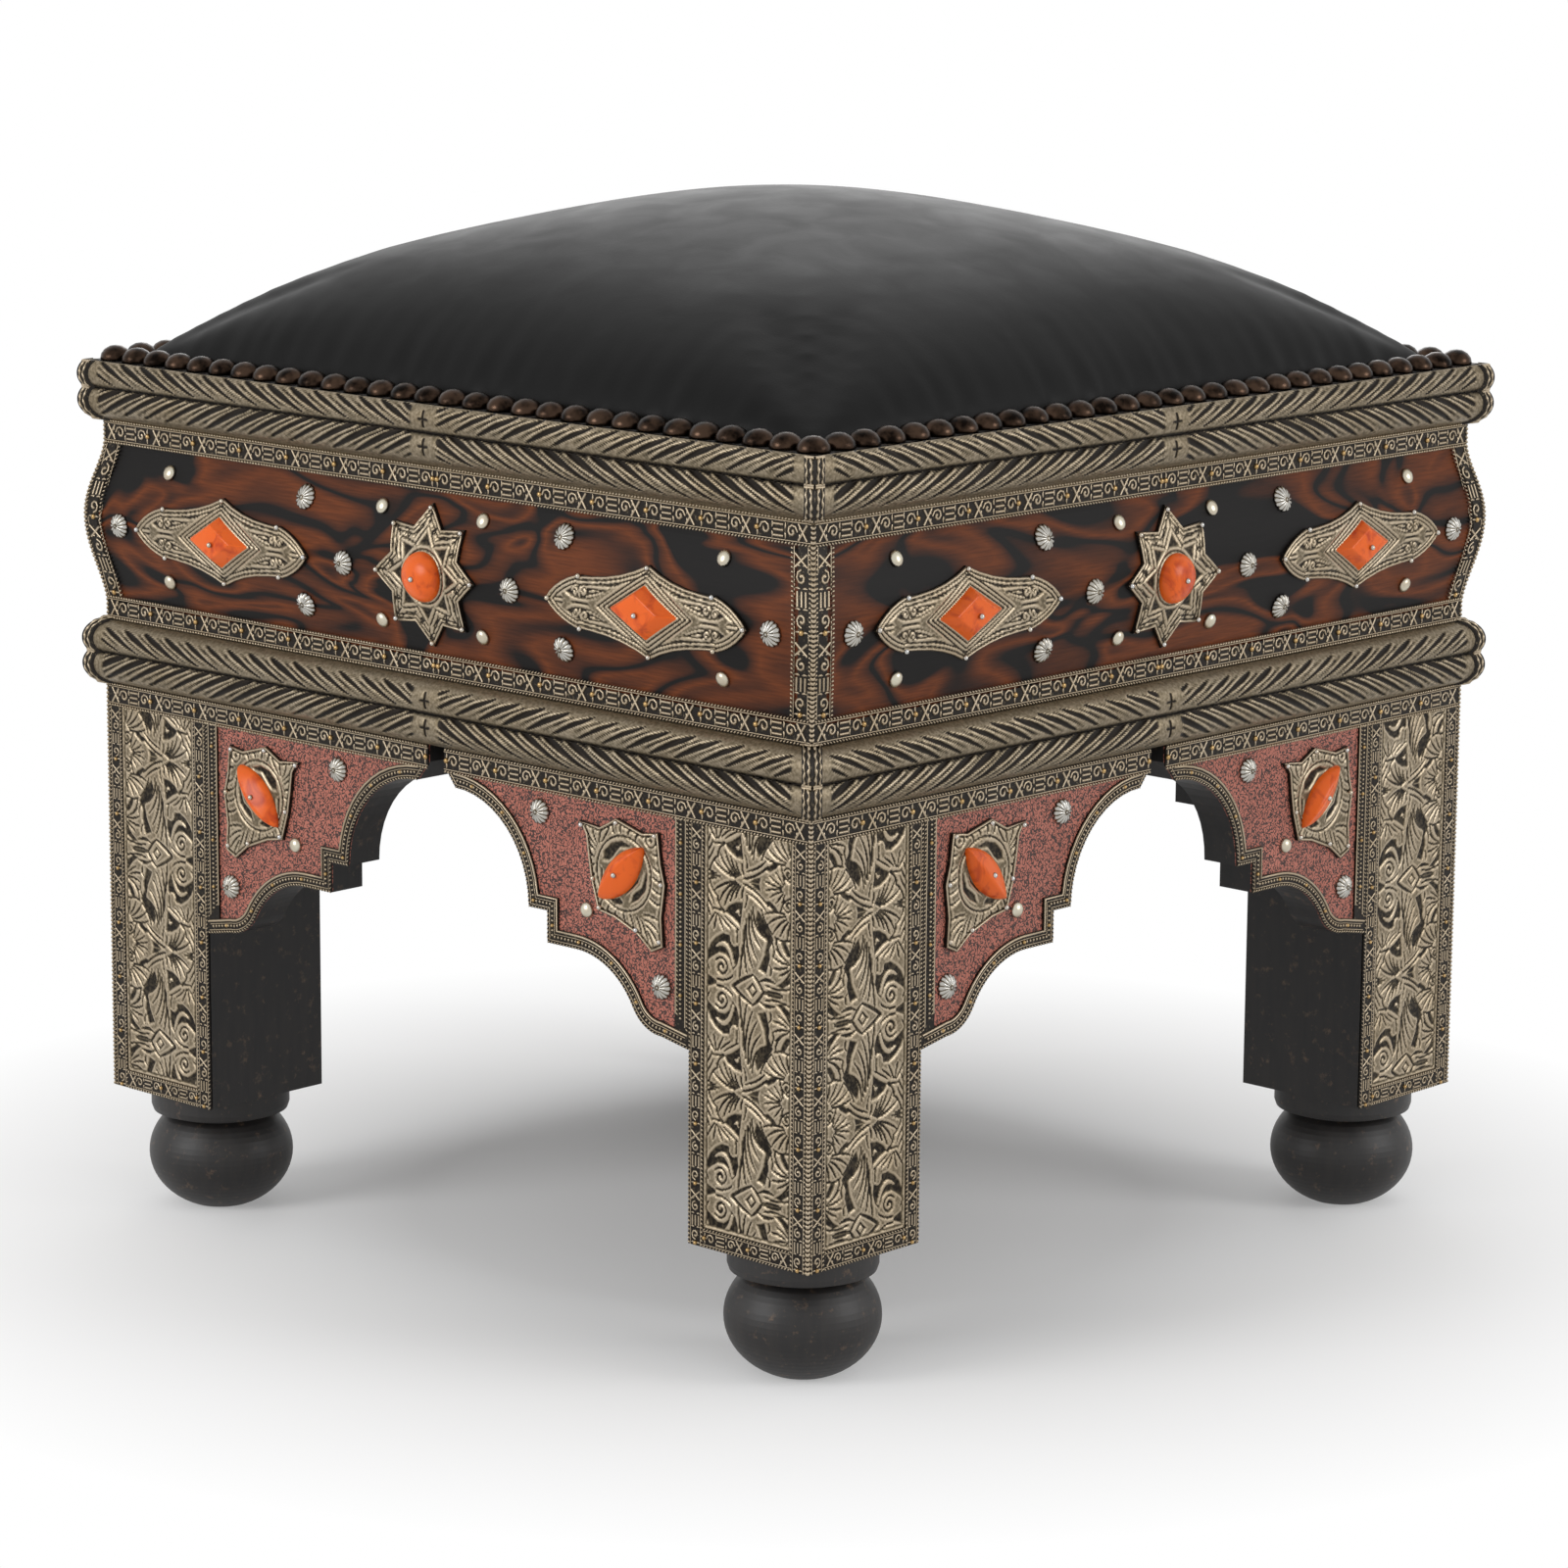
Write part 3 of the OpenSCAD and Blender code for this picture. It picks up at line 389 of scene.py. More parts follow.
def area(loop):
    """Signed area inside a loop."""
    return sum(a[0] * b[1] - b[0] * a[1] for a, b in zip(loop, loop[1:] + loop[:1])) / 2


def inset(loop, step):
    """A loop moved inwards."""
    moved = []
    for a, b, c in zip(loop[-1:] + loop[:-1], loop, loop[1:] + loop[:1]):
        came = (Vector(b) - Vector(a)).normalized()
        goes = (Vector(c) - Vector(b)).normalized()
        sideways = Vector((-came.y - goes.y, came.x + goes.x))
        moved.append(tuple(Vector(b) + sideways * step / max(0.4, 1 + came.dot(goes))))
    return moved


def walk(points, pitch):
    """Places and headings at even steps of about the pitch along a line."""
    line = np.array(points)
    runs = np.diff(line, axis=0)
    far = np.concatenate([[0], np.cumsum(np.hypot(runs[:, 0], runs[:, 1]))])
    count = max(1, round(far[-1] / pitch))
    stops = (np.arange(count) + 0.5) * far[-1] / count
    heading = runs[np.clip(np.searchsorted(far, stops) - 1, 0, len(runs) - 1)]
    return [
        at(u, v, 0, math.atan2(h[1], h[0]))
        for u, v, h in zip(np.interp(stops, far, line[:, 0]), np.interp(stops, far, line[:, 1]), heading)
    ]


def studded(stud, points, pitch):
    """Copies of a small mesh at even steps along a line."""
    return [(stud, place) for place in walk(points, pitch)]


def doubled(mesh):
    """A drawing and its mirror image about the middle of the side."""
    return gathered([(mesh, SAME), (mesh, FLIP_U)])


def belly_profile():
    """Heights and outward places of the swelling frieze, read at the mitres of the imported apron, in
    millimetres."""
    places = {}
    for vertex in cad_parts["apron_right"].data.vertices:
        if vertex.co.x > HALF_W - MM / 10 and abs(vertex.co.y) > HALF_W - 3 * MM:
            key = round((vertex.co.z - APRON_Z) / MM, 1)
            places[key] = max(places.get(key, 0), (vertex.co.x - HALF_W) / MM)
    heights = sorted(places)
    return heights, [places[h] for h in heights]


BELLY = belly_profile()


def on_frieze(co):
    """Lays a flat drawing, whose zero height is the foot of the frieze, on the swelling frieze."""
    co[:, 2] += np.interp(co[:, 1], *BELLY)
    co[:, 1] += APRON_Z / MM


def on_frieze_corner(co):
    """Lays a flat drawing on the frieze so that it keeps its distance from the swelling mitre."""
    co[:, 0] += np.sign(co[:, 0]) * np.interp(co[:, 1], *BELLY)
    on_frieze(co)


def on_flat(co):
    """Leaves a flat drawing as it is."""


def piece(name, mesh, finishes, replaced=()):
    """A finished piece of the stool from a mesh in its place in metres."""
    obj = bpy.data.objects.new(name, mesh)
    mesh.name = name
    bpy.context.scene.collection.objects.link(obj)
    for finish in finishes:
        mesh.materials.append(bpy.data.materials[finish])
    mesh.shade_smooth()
    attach(obj, BODY)
    if replaced:
        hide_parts(*replaced)
    return obj


def dress(
    name, drawing, finishes, bend=on_flat, replaced=(), full_height=None, sides=range(4)
):
    """Puts a flat drawing on the sides. Its height is kept as the attribute relief, unless it has that."""
    co = places_of(drawing)
    if "relief" not in drawing.attributes:
        height = (co[:, 2] - max(np.min(co[:, 2]), 0)) * MM / (full_height or settings("metal").relief)
        toned(drawing, np.clip(height, 0, 1))
    bend(co)
    drawing.vertices.foreach_set("co", co.ravel())
    to_side = Matrix(((0, 0, MM, HALF_W), (MM, 0, 0, 0), (0, MM, 0, 0), (0, 0, 0, 1)))
    mesh = gathered([(drawing, Matrix.Rotation(k * QUARTER, 4, "Z") @ to_side) for k in sides])
    bpy.data.meshes.remove(drawing)
    return piece(name, mesh, finishes, replaced)


# Lines for the chasing, in millimetres
def swing(a, b, c, steps=6):
    """Points of a bend from a to c that leans towards b."""
    return [
        tuple((1 - t) ** 2 * p + 2 * t * (1 - t) * q + t * t * r for p, q, r in zip(a, b, c))
        for t in (i / steps for i in range(steps + 1))
    ]


def even(points, width):
    """A stroke of one width."""
    return points, [width / 2] * len(points)


def shaped(a, b, c, width, shares):
    """A stroke whose width follows the shares along it."""
    points = swing(a, b, c, len(shares) - 1)
    return points, [width / 2 * share for share in shares]


def lobe(a, b, c, width):
    """A stroke that swells from a thin root to a round end, like a petal."""
    return shaped(a, b, c, width, (0.35, 0.5, 0.7, 0.88, 1, 0.95, 0.45))


def groove(a, b, c, width=1.5):
    """A cut line that is widest in its middle."""
    return shaped(a, b, c, width, (0.6, 0.85, 1, 1, 0.95, 0.8, 0.55))


def bent(a, b, c, width):
    """A stroke of one width that bends from a to c and leans towards b."""
    return even(swing(a, b, c), width)


def ring(radius, steps=40):
    """Points of a circle, the last of them on the first."""
    angles = (math.tau * i / steps for i in range(steps + 1))
    return [(radius * math.cos(a), radius * math.sin(a)) for a in angles]


def curl(centre, radius, start, turns, width, steps=14):
    """A volute that winds in from its outer end and thickens to a round eye."""
    points, radii = [], []
    for i in range(steps + 1):
        t = i / steps
        r = radius * (1 - 0.82 * t)
        a = start + turns * math.tau * t
        points.append((centre[0] + r * math.cos(a), centre[1] + r * math.sin(a)))
        radii.append(width / 2 * (0.75 + 0.5 * t * t))
    return points, radii


def closed(points):
    """A line that ends where it starts."""
    return list(points) + [points[0]]


# Materials
def plug(tree, node, inputs):
    """Gives inputs of a node their values or links. A node that is given stands for its first output."""
    for key, value in inputs.items():
        if isinstance(value, bpy.types.Node):
            value = value.outputs[0]
        if isinstance(value, bpy.types.NodeSocket):
            tree.links.new(value, node.inputs[key])
        else:
            node.inputs[key].default_value = value


def add(tree, kind, inputs=None, stops=None, **settings_of_node):
    """Adds a node, with its settings, its inputs as values or links, and the stops of a colour ramp."""
    made = tree.nodes.new("ShaderNode" + kind)
    for name, value in settings_of_node.items():
        setattr(made, name, value)
    plug(tree, made, inputs or {})
    if stops:
        ramp = made.color_ramp
        while len(ramp.elements) < len(stops):
            ramp.elements.new(0.5)
        for element, (position, value) in zip(ramp.elements, stops):
            element.position = position
            element.color = value if hasattr(value, "__len__") else (value, value, value, 1)
    return made


def new_finish(name):
    """An empty material with its shader, and the coordinates that its patterns read."""
    material = bpy.data.materials.new(name)
    material.use_nodes = True
    tree = material.node_tree
    return tree, tree.nodes["Principled BSDF"], add(tree, "TexCoord").outputs["Object"]


def per_mm(size_mm):
    """Scale of a pattern whose features are about this many millimetres across."""
    return 1 / (size_mm * MM)


def chased_metal(name, light, mid, dark, metallic=0.85, roughness=0.42, ground=False):
    """Nickel silver sheet, embossed and antiqued: hollows are tarnished and raised lines are rubbed, and the
    relief attribute also brings in painted shade where a mesh carries it, as along the valleys of the
    moulding sheaths.
    """
    tree, shader, place = new_finish(name)
    patches = add(tree, "TexNoise", {"Vector": place, "Scale": per_mm(26), "Detail": 3.0})
    grains = add(tree, "TexNoise", {"Vector": place, "Scale": per_mm(1.6), "Detail": 2.0})
    if ground:
        worn = add(tree, "ValToRGB", {"Fac": grains}, [(0.35, dark), (0.6, mid), (0.8, light)])
    else:
        height = add(tree, "Attribute", attribute_name="relief").outputs["Fac"]
        rubbed = add(tree, "Math", {0: grains, 1: 0.5, 2: height}, operation="MULTIPLY_ADD")
        worn = add(tree, "ValToRGB", {"Fac": rubbed}, [(0.22, dark), (0.52, mid), (0.88, light)])
    dulled = add(
        tree, "Mix", {0: patches, 6: worn, 7: rgba(settings("colours").metal_film)},
        data_type="RGBA", blend_type="MULTIPLY",
    )
    sheen = add(
        tree, "MapRange", {"Value": patches, "To Min": roughness - 0.1, "To Max": roughness + 0.12}
    )
    bump = add(tree, "Bump", {"Strength": 0.35, "Distance": 0.25 * MM, "Height": grains})
    plug(tree, shader, {
        "Base Color": dulled.outputs[2], "Roughness": sheen, "Normal": bump, "Metallic": metallic,
    })


def polished_metal(name, bright, shade, roughness):
    """Cast or spun white metal or bronze: smooth domes with a little tarnish in patches."""
    tree, shader, place = new_finish(name)
    patches = add(tree, "TexNoise", {"Vector": place, "Scale": per_mm(7), "Detail": 3.0})
    mixed = add(tree, "ValToRGB", {"Fac": patches}, [(0.35, shade), (0.62, bright)])
    sheen = add(
        tree, "MapRange", {"Value": patches, "To Min": roughness + 0.1, "To Max": roughness - 0.05}
    )
    plug(tree, shader, {"Base Color": mixed, "Roughness": sheen, "Metallic": 1.0})


def figured_wood(name, c):
    """Polished veneer with black flame figure: bands that run along the board and swirl round eyes."""
    tree, shader, place = new_finish(name)
    red, brown, black = rgba(c.wood_red), rgba(c.wood_brown), rgba(c.wood_black)
    stretched = add(tree, "Mapping", {"Vector": place, "Scale": (1, 1, 3.0)})
    drift = add(tree, "TexNoise", {"Vector": stretched, "Scale": per_mm(150), "Detail": 1.0})
    pushed = add(
        tree, "VectorMath", {0: drift.outputs["Color"], 1: (0.16, 0.16, 0.16), 2: stretched},
        operation="MULTIPLY_ADD",
    )
    bands = add(
        tree, "TexNoise", {"Vector": pushed, "Scale": per_mm(140), "Detail": 1.8, "Distortion": 0.6}
    )
    figure = add(tree, "ValToRGB", {"Fac": bands}, [
        (0.395, black), (0.412, brown), (0.45, red), (0.482, brown), (0.492, black),
        (0.512, black), (0.522, brown), (0.58, red), (0.612, brown), (0.622, black),
    ])
    threads = add(tree, "Mapping", {"Vector": place, "Scale": (1, 1, 14)})
    pores = add(tree, "TexNoise", {"Vector": threads, "Scale": per_mm(14), "Detail": 4.0})
    streaks = add(tree, "ValToRGB", {"Fac": pores}, [(0.3, 0.55), (0.62, 1.0)])
    stained = add(
        tree, "Mix", {0: 0.8, 6: figure, 7: streaks}, data_type="RGBA", blend_type="MULTIPLY"
    )
    bump = add(tree, "Bump", {"Strength": 0.15, "Distance": 0.2 * MM, "Height": pores})
    plug(tree, shader, {
        "Base Color": stained.outputs[2], "Normal": bump, "Roughness": 0.48, "Specular IOR Level": 0.15,
    })


def stained_wood(name, c):
    """Softwood stained black and rubbed by use: brown shows in specks and along the grain."""
    tree, shader, place = new_finish(name)
    stretched = add(tree, "Mapping", {"Vector": place, "Scale": (1, 1, 0.18)})
    grain = add(tree, "TexNoise", {"Vector": stretched, "Scale": per_mm(5), "Detail": 6.0})
    specks = add(
        tree, "TexNoise", {"Vector": place, "Scale": per_mm(6), "Detail": 5.0, "Roughness": 0.7}
    )
    rubbed = add(tree, "ValToRGB", {"Fac": specks}, [(0.58, 0.0), (0.74, 1.0)])
    tones = add(
        tree, "ValToRGB", {"Fac": grain}, [(0.35, rgba(c.stain_deep)), (0.65, rgba(c.stain))]
    )
    faded = add(tree, "Mix", {0: rubbed, 6: tones, 7: rgba(c.stain_worn)}, data_type="RGBA")
    bump = add(tree, "Bump", {"Strength": 0.3, "Distance": 0.4 * MM, "Height": grain})
    plug(tree, shader, {"Base Color": faded.outputs[2], "Normal": bump, "Roughness": 0.5})


def stippled_lacquer(name, c):
    """Red lacquer on thin sheet, stippled all over with worm-like black marks."""
    tree, shader, place = new_finish(name)
    worms = add(
        tree, "TexNoise", {"Vector": place, "Scale": per_mm(1.7), "Detail": 0.0, "Distortion": 0.5}
    )
    middle = add(tree, "Math", {0: worms, 1: 0.5}, operation="SUBTRACT")
    line = add(tree, "Math", {0: middle}, operation="ABSOLUTE")
    marks = add(tree, "ValToRGB", {"Fac": line}, [(0.075, rgba(c.stipple)), (0.1, rgba(c.lacquer))])
    patches = add(tree, "TexNoise", {"Vector": place, "Scale": per_mm(22), "Detail": 2.0})
    aged = add(
        tree, "Mix", {0: patches, 6: marks, 7: rgba(c.lacquer_film)},
        data_type="RGBA", blend_type="MULTIPLY",
    )
    bump = add(tree, "Bump", {"Strength": 0.6, "Distance": 0.4 * MM, "Height": marks})
    plug(tree, shader, {"Base Color": aged.outputs[2], "Normal": bump, "Roughness": 0.55})


def polished_coral(name, c):
    """Polished coral: saturated orange with cloudy deeper veins and a soft glow."""
    tree, shader, place = new_finish(name)
    clouds = add(
        tree, "TexNoise", {"Vector": place, "Scale": per_mm(11), "Detail": 3.0, "Distortion": 1.2}
    )
    veined = add(
        tree, "ValToRGB", {"Fac": clouds}, [(0.25, rgba(c.coral_deep)), (0.5, rgba(c.coral))]
    )
    plug(tree, shader, {
        "Base Color": veined, "Roughness": 0.32, "Specular IOR Level": 0.3,
        "Subsurface Weight": 0.06, "Subsurface Scale": 2 * MM,
    })


def dyed_leather(name, c):
    """Black dyed leather: fine pores, long soft creases and a waxed sheen that varies."""
    tree, shader, place = new_finish(name)
    pores = add(
        tree, "TexVoronoi", {"Vector": place, "Scale": per_mm(1.8)}, feature="DISTANCE_TO_EDGE"
    )
    creases = add(
        tree, "TexNoise", {"Vector": place, "Scale": per_mm(30), "Detail": 5.0, "Distortion": 0.5}
    )
    both = add(
        tree, "Math", {0: pores.outputs["Distance"], 1: 0.2, 2: creases}, operation="MULTIPLY_ADD"
    )
    bump = add(tree, "Bump", {"Strength": 0.25, "Distance": 0.6 * MM, "Height": both})
    waxed = add(tree, "MapRange", {"Value": creases, "To Min": 0.36, "To Max": 0.54})
    plug(tree, shader, {
        "Base Color": rgba(c.leather), "Normal": bump, "Roughness": waxed, "Specular IOR Level": 0.12,
    })


def plain_board(name, c):
    """Sawn softwood inside the seat, left bare."""
    tree, shader, place = new_finish(name)
    stretched = add(tree, "Mapping", {"Vector": place, "Scale": (0.1, 1, 1)})
    grain = add(tree, "TexNoise", {"Vector": stretched, "Scale": per_mm(8), "Detail": 5.0})
    tones = add(
        tree, "ValToRGB", {"Fac": grain}, [(0.3, rgba(c.bare_deep)), (0.7, rgba(c.bare_wood))]
    )
    plug(tree, shader, {"Base Color": tones, "Roughness": 0.75})


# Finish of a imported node, by the first of these words that its name holds
NODE_FINISHES = {
    "apron": "figured veneer",
    "panels": "stippled red lacquer",
    "stones": "polished coral",
    "screws": "white metal",
    "pins": "white metal",
    "fluted_nails": "white metal",
    "plain_nails": "satin white metal",
    "seat_nails": "antique bronze",
    "cleat": "bare softwood",
    "seat_board": "bare softwood",
    "strips": "dull nickel silver",
    "sheaths": "dull nickel silver",
    "straps": "tarnished nickel silver",
    "plates": "tarnished nickel silver",
    "plaques": "tarnished nickel silver",
}


class FOOTSTOOL_OT_finishes(bpy.types.Operator):
    """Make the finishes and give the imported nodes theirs"""

    bl_idname = "footstool.finishes"
    bl_label = "Finishes"

    def execute(self, context):
        c = settings("colours")
        light, mid, dark = rgba(c.metal_light), rgba(c.metal_mid), rgba(c.metal_dark)
        chased_metal("embossed nickel silver", light, mid, dark)
        chased_metal("tarnished nickel silver", mid, dark, dark, 0.6, 0.5, ground=True)
        chased_metal("dull nickel silver", mid, dark, dark, 0.7, 0.45, ground=True)
        chased_metal("gilt bead pin", rgba(c.gilt), rgba(c.gilt), dark, 1.0, 0.3)
        chased_metal("fluted white metal", rgba(c.silver), mid, dark, 1.0, 0.25)
        polished_metal("white metal", rgba(c.silver), light, 0.22)
        polished_metal("satin white metal", rgba(c.pearl), light, 0.3)
        polished_metal("antique bronze", rgba(c.bronze_worn), rgba(c.bronze), 0.28)
        figured_wood("figured veneer", c)
        stained_wood("black stained wood", c)
        stippled_lacquer("stippled red lacquer", c)
        polished_coral("polished coral", c)
        dyed_leather("black dyed leather", c)
        plain_board("bare softwood", c)
        for name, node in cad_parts.items():
            finish = next((f for word, f in NODE_FINISHES.items() if word in name), "black stained wood")
            node.data.materials.clear()
            node.data.materials.append(bpy.data.materials[finish])
        return {"FINISHED"}


def bead_profile(node, s):
    """Section of the two beads of a moulding from its foot up, in rows of outward place, height, outward
    share, upward share, distance round the bead from its widest place, and the bead's number."""
    low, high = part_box(node)
    base = LOWER_Z if low.z < APRON_Z else UPPER_Z
    radius, pitch = s.bead_r / MM, s.bead_pitch / MM
    first = (s.lower_bead_z if base == LOWER_Z else s.upper_bead_z) / MM
    tall = (high.z - base) / MM
    meet = math.asin(pitch / 2 / radius)
    foot = -math.acos((s.fillet / MM + radius - BEAD_OUT / MM) / radius)
    top = math.asin(min(1, (tall - first - pitch) / radius))
    rows = []
    for number, (start, stop) in enumerate([(foot, meet), (-meet, top)]):
        steps = round((stop - start) * radius / (s.grain / MM))
        for a in np.linspace(start, stop, steps + 1):
            rows.append((
                BEAD_OUT / MM - radius + radius * math.cos(a), first + number * pitch + radius * math.sin(a),
                math.cos(a), math.sin(a), a * radius, number,
            ))
    return np.array(rows), base / MM, tall


def gouges(along, arc, bead, s):
    """Height of the chasing at a place on a bead: leaf gouges that lean away from the middle of the side on
    the upper bead and towards it on the lower one, and a stamped cross at the middle."""
    pitch, width = s.gouge_pitch / MM, s.gouge_width / MM
    depth, rim = s.gouge_depth / MM, s.gouge_rim / MM
    slope = s.gouge_slope
    on_upper = bead > 0.5
    lean = np.where(on_upper, -1.0, 1.0)
    out = np.abs(along)
    start = np.where(on_upper, 8.0, 7.0)
    stop = np.where(on_upper, -5.6, -8.6)
    height = np.zeros(np.shape(arc))
    for between, size in ((0, 1), (0.5, 0.45)):
        phase = (out + lean * arc / math.tan(slope)) / pitch + between
        number = np.floor(phase + 0.5)
        wobble = 0.09 * np.sin(number * 12.9898 + bead * 4.1)
        uneven = 1 + 0.22 * np.sin(number * 7.3 + bead * 2.7 + np.sign(along))
        aside = (phase - number - wobble) * pitch * math.sin(slope)
        share = np.clip((start - arc - 2 * between) / (start - stop - 4 * between), 0, 1)
        upper = np.clip(share / 0.35, 0, 1) ** 0.6
        lower = np.clip(0.5 + share / 0.25, 0, 1)
        half = uneven * size * width / 2 * np.where(on_upper, upper, lower) * (1 - share) ** 0.55
        near = aside / np.maximum(half, 0.05)
        deep = np.clip(half / 0.5, 0, 1) * (share < 1)
        height -= depth * (0.4 + 0.6 * size) * np.clip(1.3 - np.abs(near) ** 2.5, 0, 1) * deep
        height += rim * size * np.exp(-((np.abs(near) - 1.6) ** 2) / 0.12) * deep
    clear = np.clip((out - 8) / 3, 0, 1) * np.clip((HALF_W / MM - 3 - out) / 3, 0, 1)
    cross = np.clip(1.2 - out / 0.9, 0, 1) * (np.abs(arc) < 4.6)
    bar = np.clip(1.2 - np.abs(arc) / 0.7, 0, 1) * (out < 3.6)
    return height * clear - 0.6 * np.maximum(cross, bar)


def chased_sheath(node, s):
    """The sheaths of one moulding, each two beads with leaf gouges and closed behind."""
    rows, base, tall = bead_profile(node, s)
    back, corner = -2.0, 3.0
    behind = [
        (rows[-1][0] - corner, tall), (back, tall - corner), (back, corner), (back, 0), (s.fillet / MM, 0),
    ]
    section = np.vstack([rows] + [(out, up, 0, 0, 0, -1) for out, up in behind])
    valley = rows[rows[:, 5] > 0.5, 1].min()
    half = HALF_W / MM
    right = np.linspace(0, 1, round(half / (s.grain / MM) / 1.9))
    right = np.unique(np.concatenate([right, (0.0012, 0.0024, 0.0036)]))
    stations = np.concatenate([-right[:0:-1], right])
    bm = bmesh.new()
    bmesh.ops.create_grid(bm, x_segments=len(stations) - 1, y_segments=len(section) - 1, size=1)
    co = np.array([v.co[:] for v in bm.verts])
    i = np.rint((co[:, 0] + 1) / 2 * (len(stations) - 1)).astype(int)
    j = np.rint((co[:, 1] + 1) / 2 * (len(section) - 1)).astype(int)
    out, up, share_out, share_up, arc, bead = section[j].T
    along = stations[i] * (half + out)
    height = np.where(bead >= 0, gouges(along, arc, bead, s), 0)
    # Painted shade: the tone drops by up to 0.5 within 1.8 mm of the valley between the two beads, to darken
    # the crease there.
    fold = np.abs(up - valley)
    tone = np.where(bead >= 0, SHEATH_TONE + 1.1 * height, 0.25) - 0.5 * np.clip(1 - fold / 1.8, 0, 1)
    out = half + out + share_out * height
    up = base + np.minimum(up + share_up * height, tall)
    for vertex, place in zip(bm.verts, np.stack([out, along, up], 1) * MM):
        vertex.co = place
    leaning = {True: [], False: []}
    for face in bm.faces:
        middle = face.calc_center_median()
        upper = middle.z / MM > base + valley
        leaning[(middle.y > 0) != upper].append(face)
    rims = [
        sorted((v for v, row in zip(bm.verts, j) if row == end), key=lambda v: v.co.y)
        for end in (0, len(section) - 1)
    ]
    for a, b, c, d in zip(rims[0], rims[0][1:], rims[1][1:], rims[1]):
        bm.faces.new((a, d, c, b))
    for method, faces in (("FIXED", leaning[True]), ("ALTERNATE", leaning[False])):
        bmesh.ops.triangulate(bm, faces=faces, quad_method=method)
    side = toned(shut(bm), tone)
    for k, place in enumerate(SIDES):
        turned_side = gathered([(side, Matrix.Rotation(k * QUARTER, 4, "Z"))])
        name = node.replace("moulding_sheaths", "sheath_" + place)
        piece(name, turned_side, METAL, [node])


def strap_relief(s, node):
    """Embossed rings of the straps over the mitres of one moulding, for one end of the right side."""
    rows, base, tall = bead_profile(node, s)
    strap = (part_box("mitre_straps")[1].x - HALF_W) / MM - BEAD_OUT / MM
    parts = []
    for number in (0, 1):
        bead = rows[rows[:, 5] == number]
        start = -10.5 if number == 0 else bead[0, 4] + 1.6
        stop = bead[-1, 4] - 1.4
        arcs = np.linspace(start, stop, round((stop - start) / 0.8))
        for aside, width in ((-5.2, 1.9), (-2.2, 2.2)):
            knots = [width / 2 * (0.78 + 0.34 * math.sin(1.7 * arc + 3 * aside)) for arc in arcs]
            waves = [(aside + 0.35 * math.sin(1.3 * arc + aside), arc) for arc in arcs]
            strokes = [(waves, knots)]
            if aside == -5.2:
                strokes += [even([(-6.4, end), (-0.4, end)], 1.9) for end in (start, stop)]
            mesh = ridges(strokes, 0.8)
            co = places_of(mesh)
            toned(mesh, np.clip(0.25 + 0.8 * co[:, 2], 0, 1))
            out, up, share_out, share_up = (np.interp(co[:, 1], bead[:, 4], bead[:, c]) for c in range(4))
            lift = strap + co[:, 2]
            placed = np.stack([
                HALF_W / MM + out + share_out * strap + co[:, 0],
                base + up + share_up * lift,
                out + share_out * lift,
            ], 1)
            mesh.vertices.foreach_set("co", placed.ravel().astype(np.float32))
            parts.append((mesh, SAME))
    return gathered(parts)


class FOOTSTOOL_OT_mouldings(bpy.types.Operator):
    """Sheathe both mouldings in sheet metal chased with leaf gouges, and emboss the straps over the mitres"""

    bl_idname = "footstool.mouldings"
    bl_label = "Moulding sheaths"

    def execute(self, context):
        s = settings("metal")
        for moulding in ("lower", "upper"):
            chased_sheath(moulding + "_moulding_sheaths", s)
        for moulding in ("lower", "upper"):
            rings = strap_relief(s, moulding + "_moulding_sheaths")
            dress(moulding + "_strap_relief", doubled(rings), METAL)
        return {"FINISHED"}


def in_a_row(mesh, step, count, first=0.0):
    """Copies of a mesh at even steps along a drawing. The first stands at a share of a step."""
    return gathered([(mesh, at((i + first) * step, 0)) for i in range(count)])


def rope(span, s, size):
    """A twisted rope edge along the drawing, centred on zero height, from 0 to span."""
    count = max(1, round(span / (s.rope_pitch / MM)))
    step = span / count
    twist = ball(step * 1.2, 0.85 * size, 0.9 * size, math.radians(48), 4, 2)
    return in_a_row(twist, step, count, 0.5)


def beaded_wire(span):
    """A twisted wire along a corner, from 0 to span."""
    pitch = 2.3
    count = round(span / pitch)
    step = span / count
    return in_a_row(ball(step * 1.25, 1.5, 1.35, math.radians(38)), step, count, 0.5)


def ground(left, right, low, high, thick):
    """The sheet under the ornament of a strip, divided so that it can bend. Its grid is made without a size,
    which draws the sheet together to its middle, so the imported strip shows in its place."""
    wide, tall = right - left, high - low
    bm = bmesh.new()
    bmesh.ops.create_grid(bm, x_segments=max(1, round(wide / 9)), y_segments=round(tall / 2))
    for vertex in bm.verts:
        x, y, z = vertex.co
        vertex.co = (left + wide * (x + 1) / 2, low + tall * (y + 1) / 2, thick)
    drawn_down(bm, 0.1)
    return shut(bm)


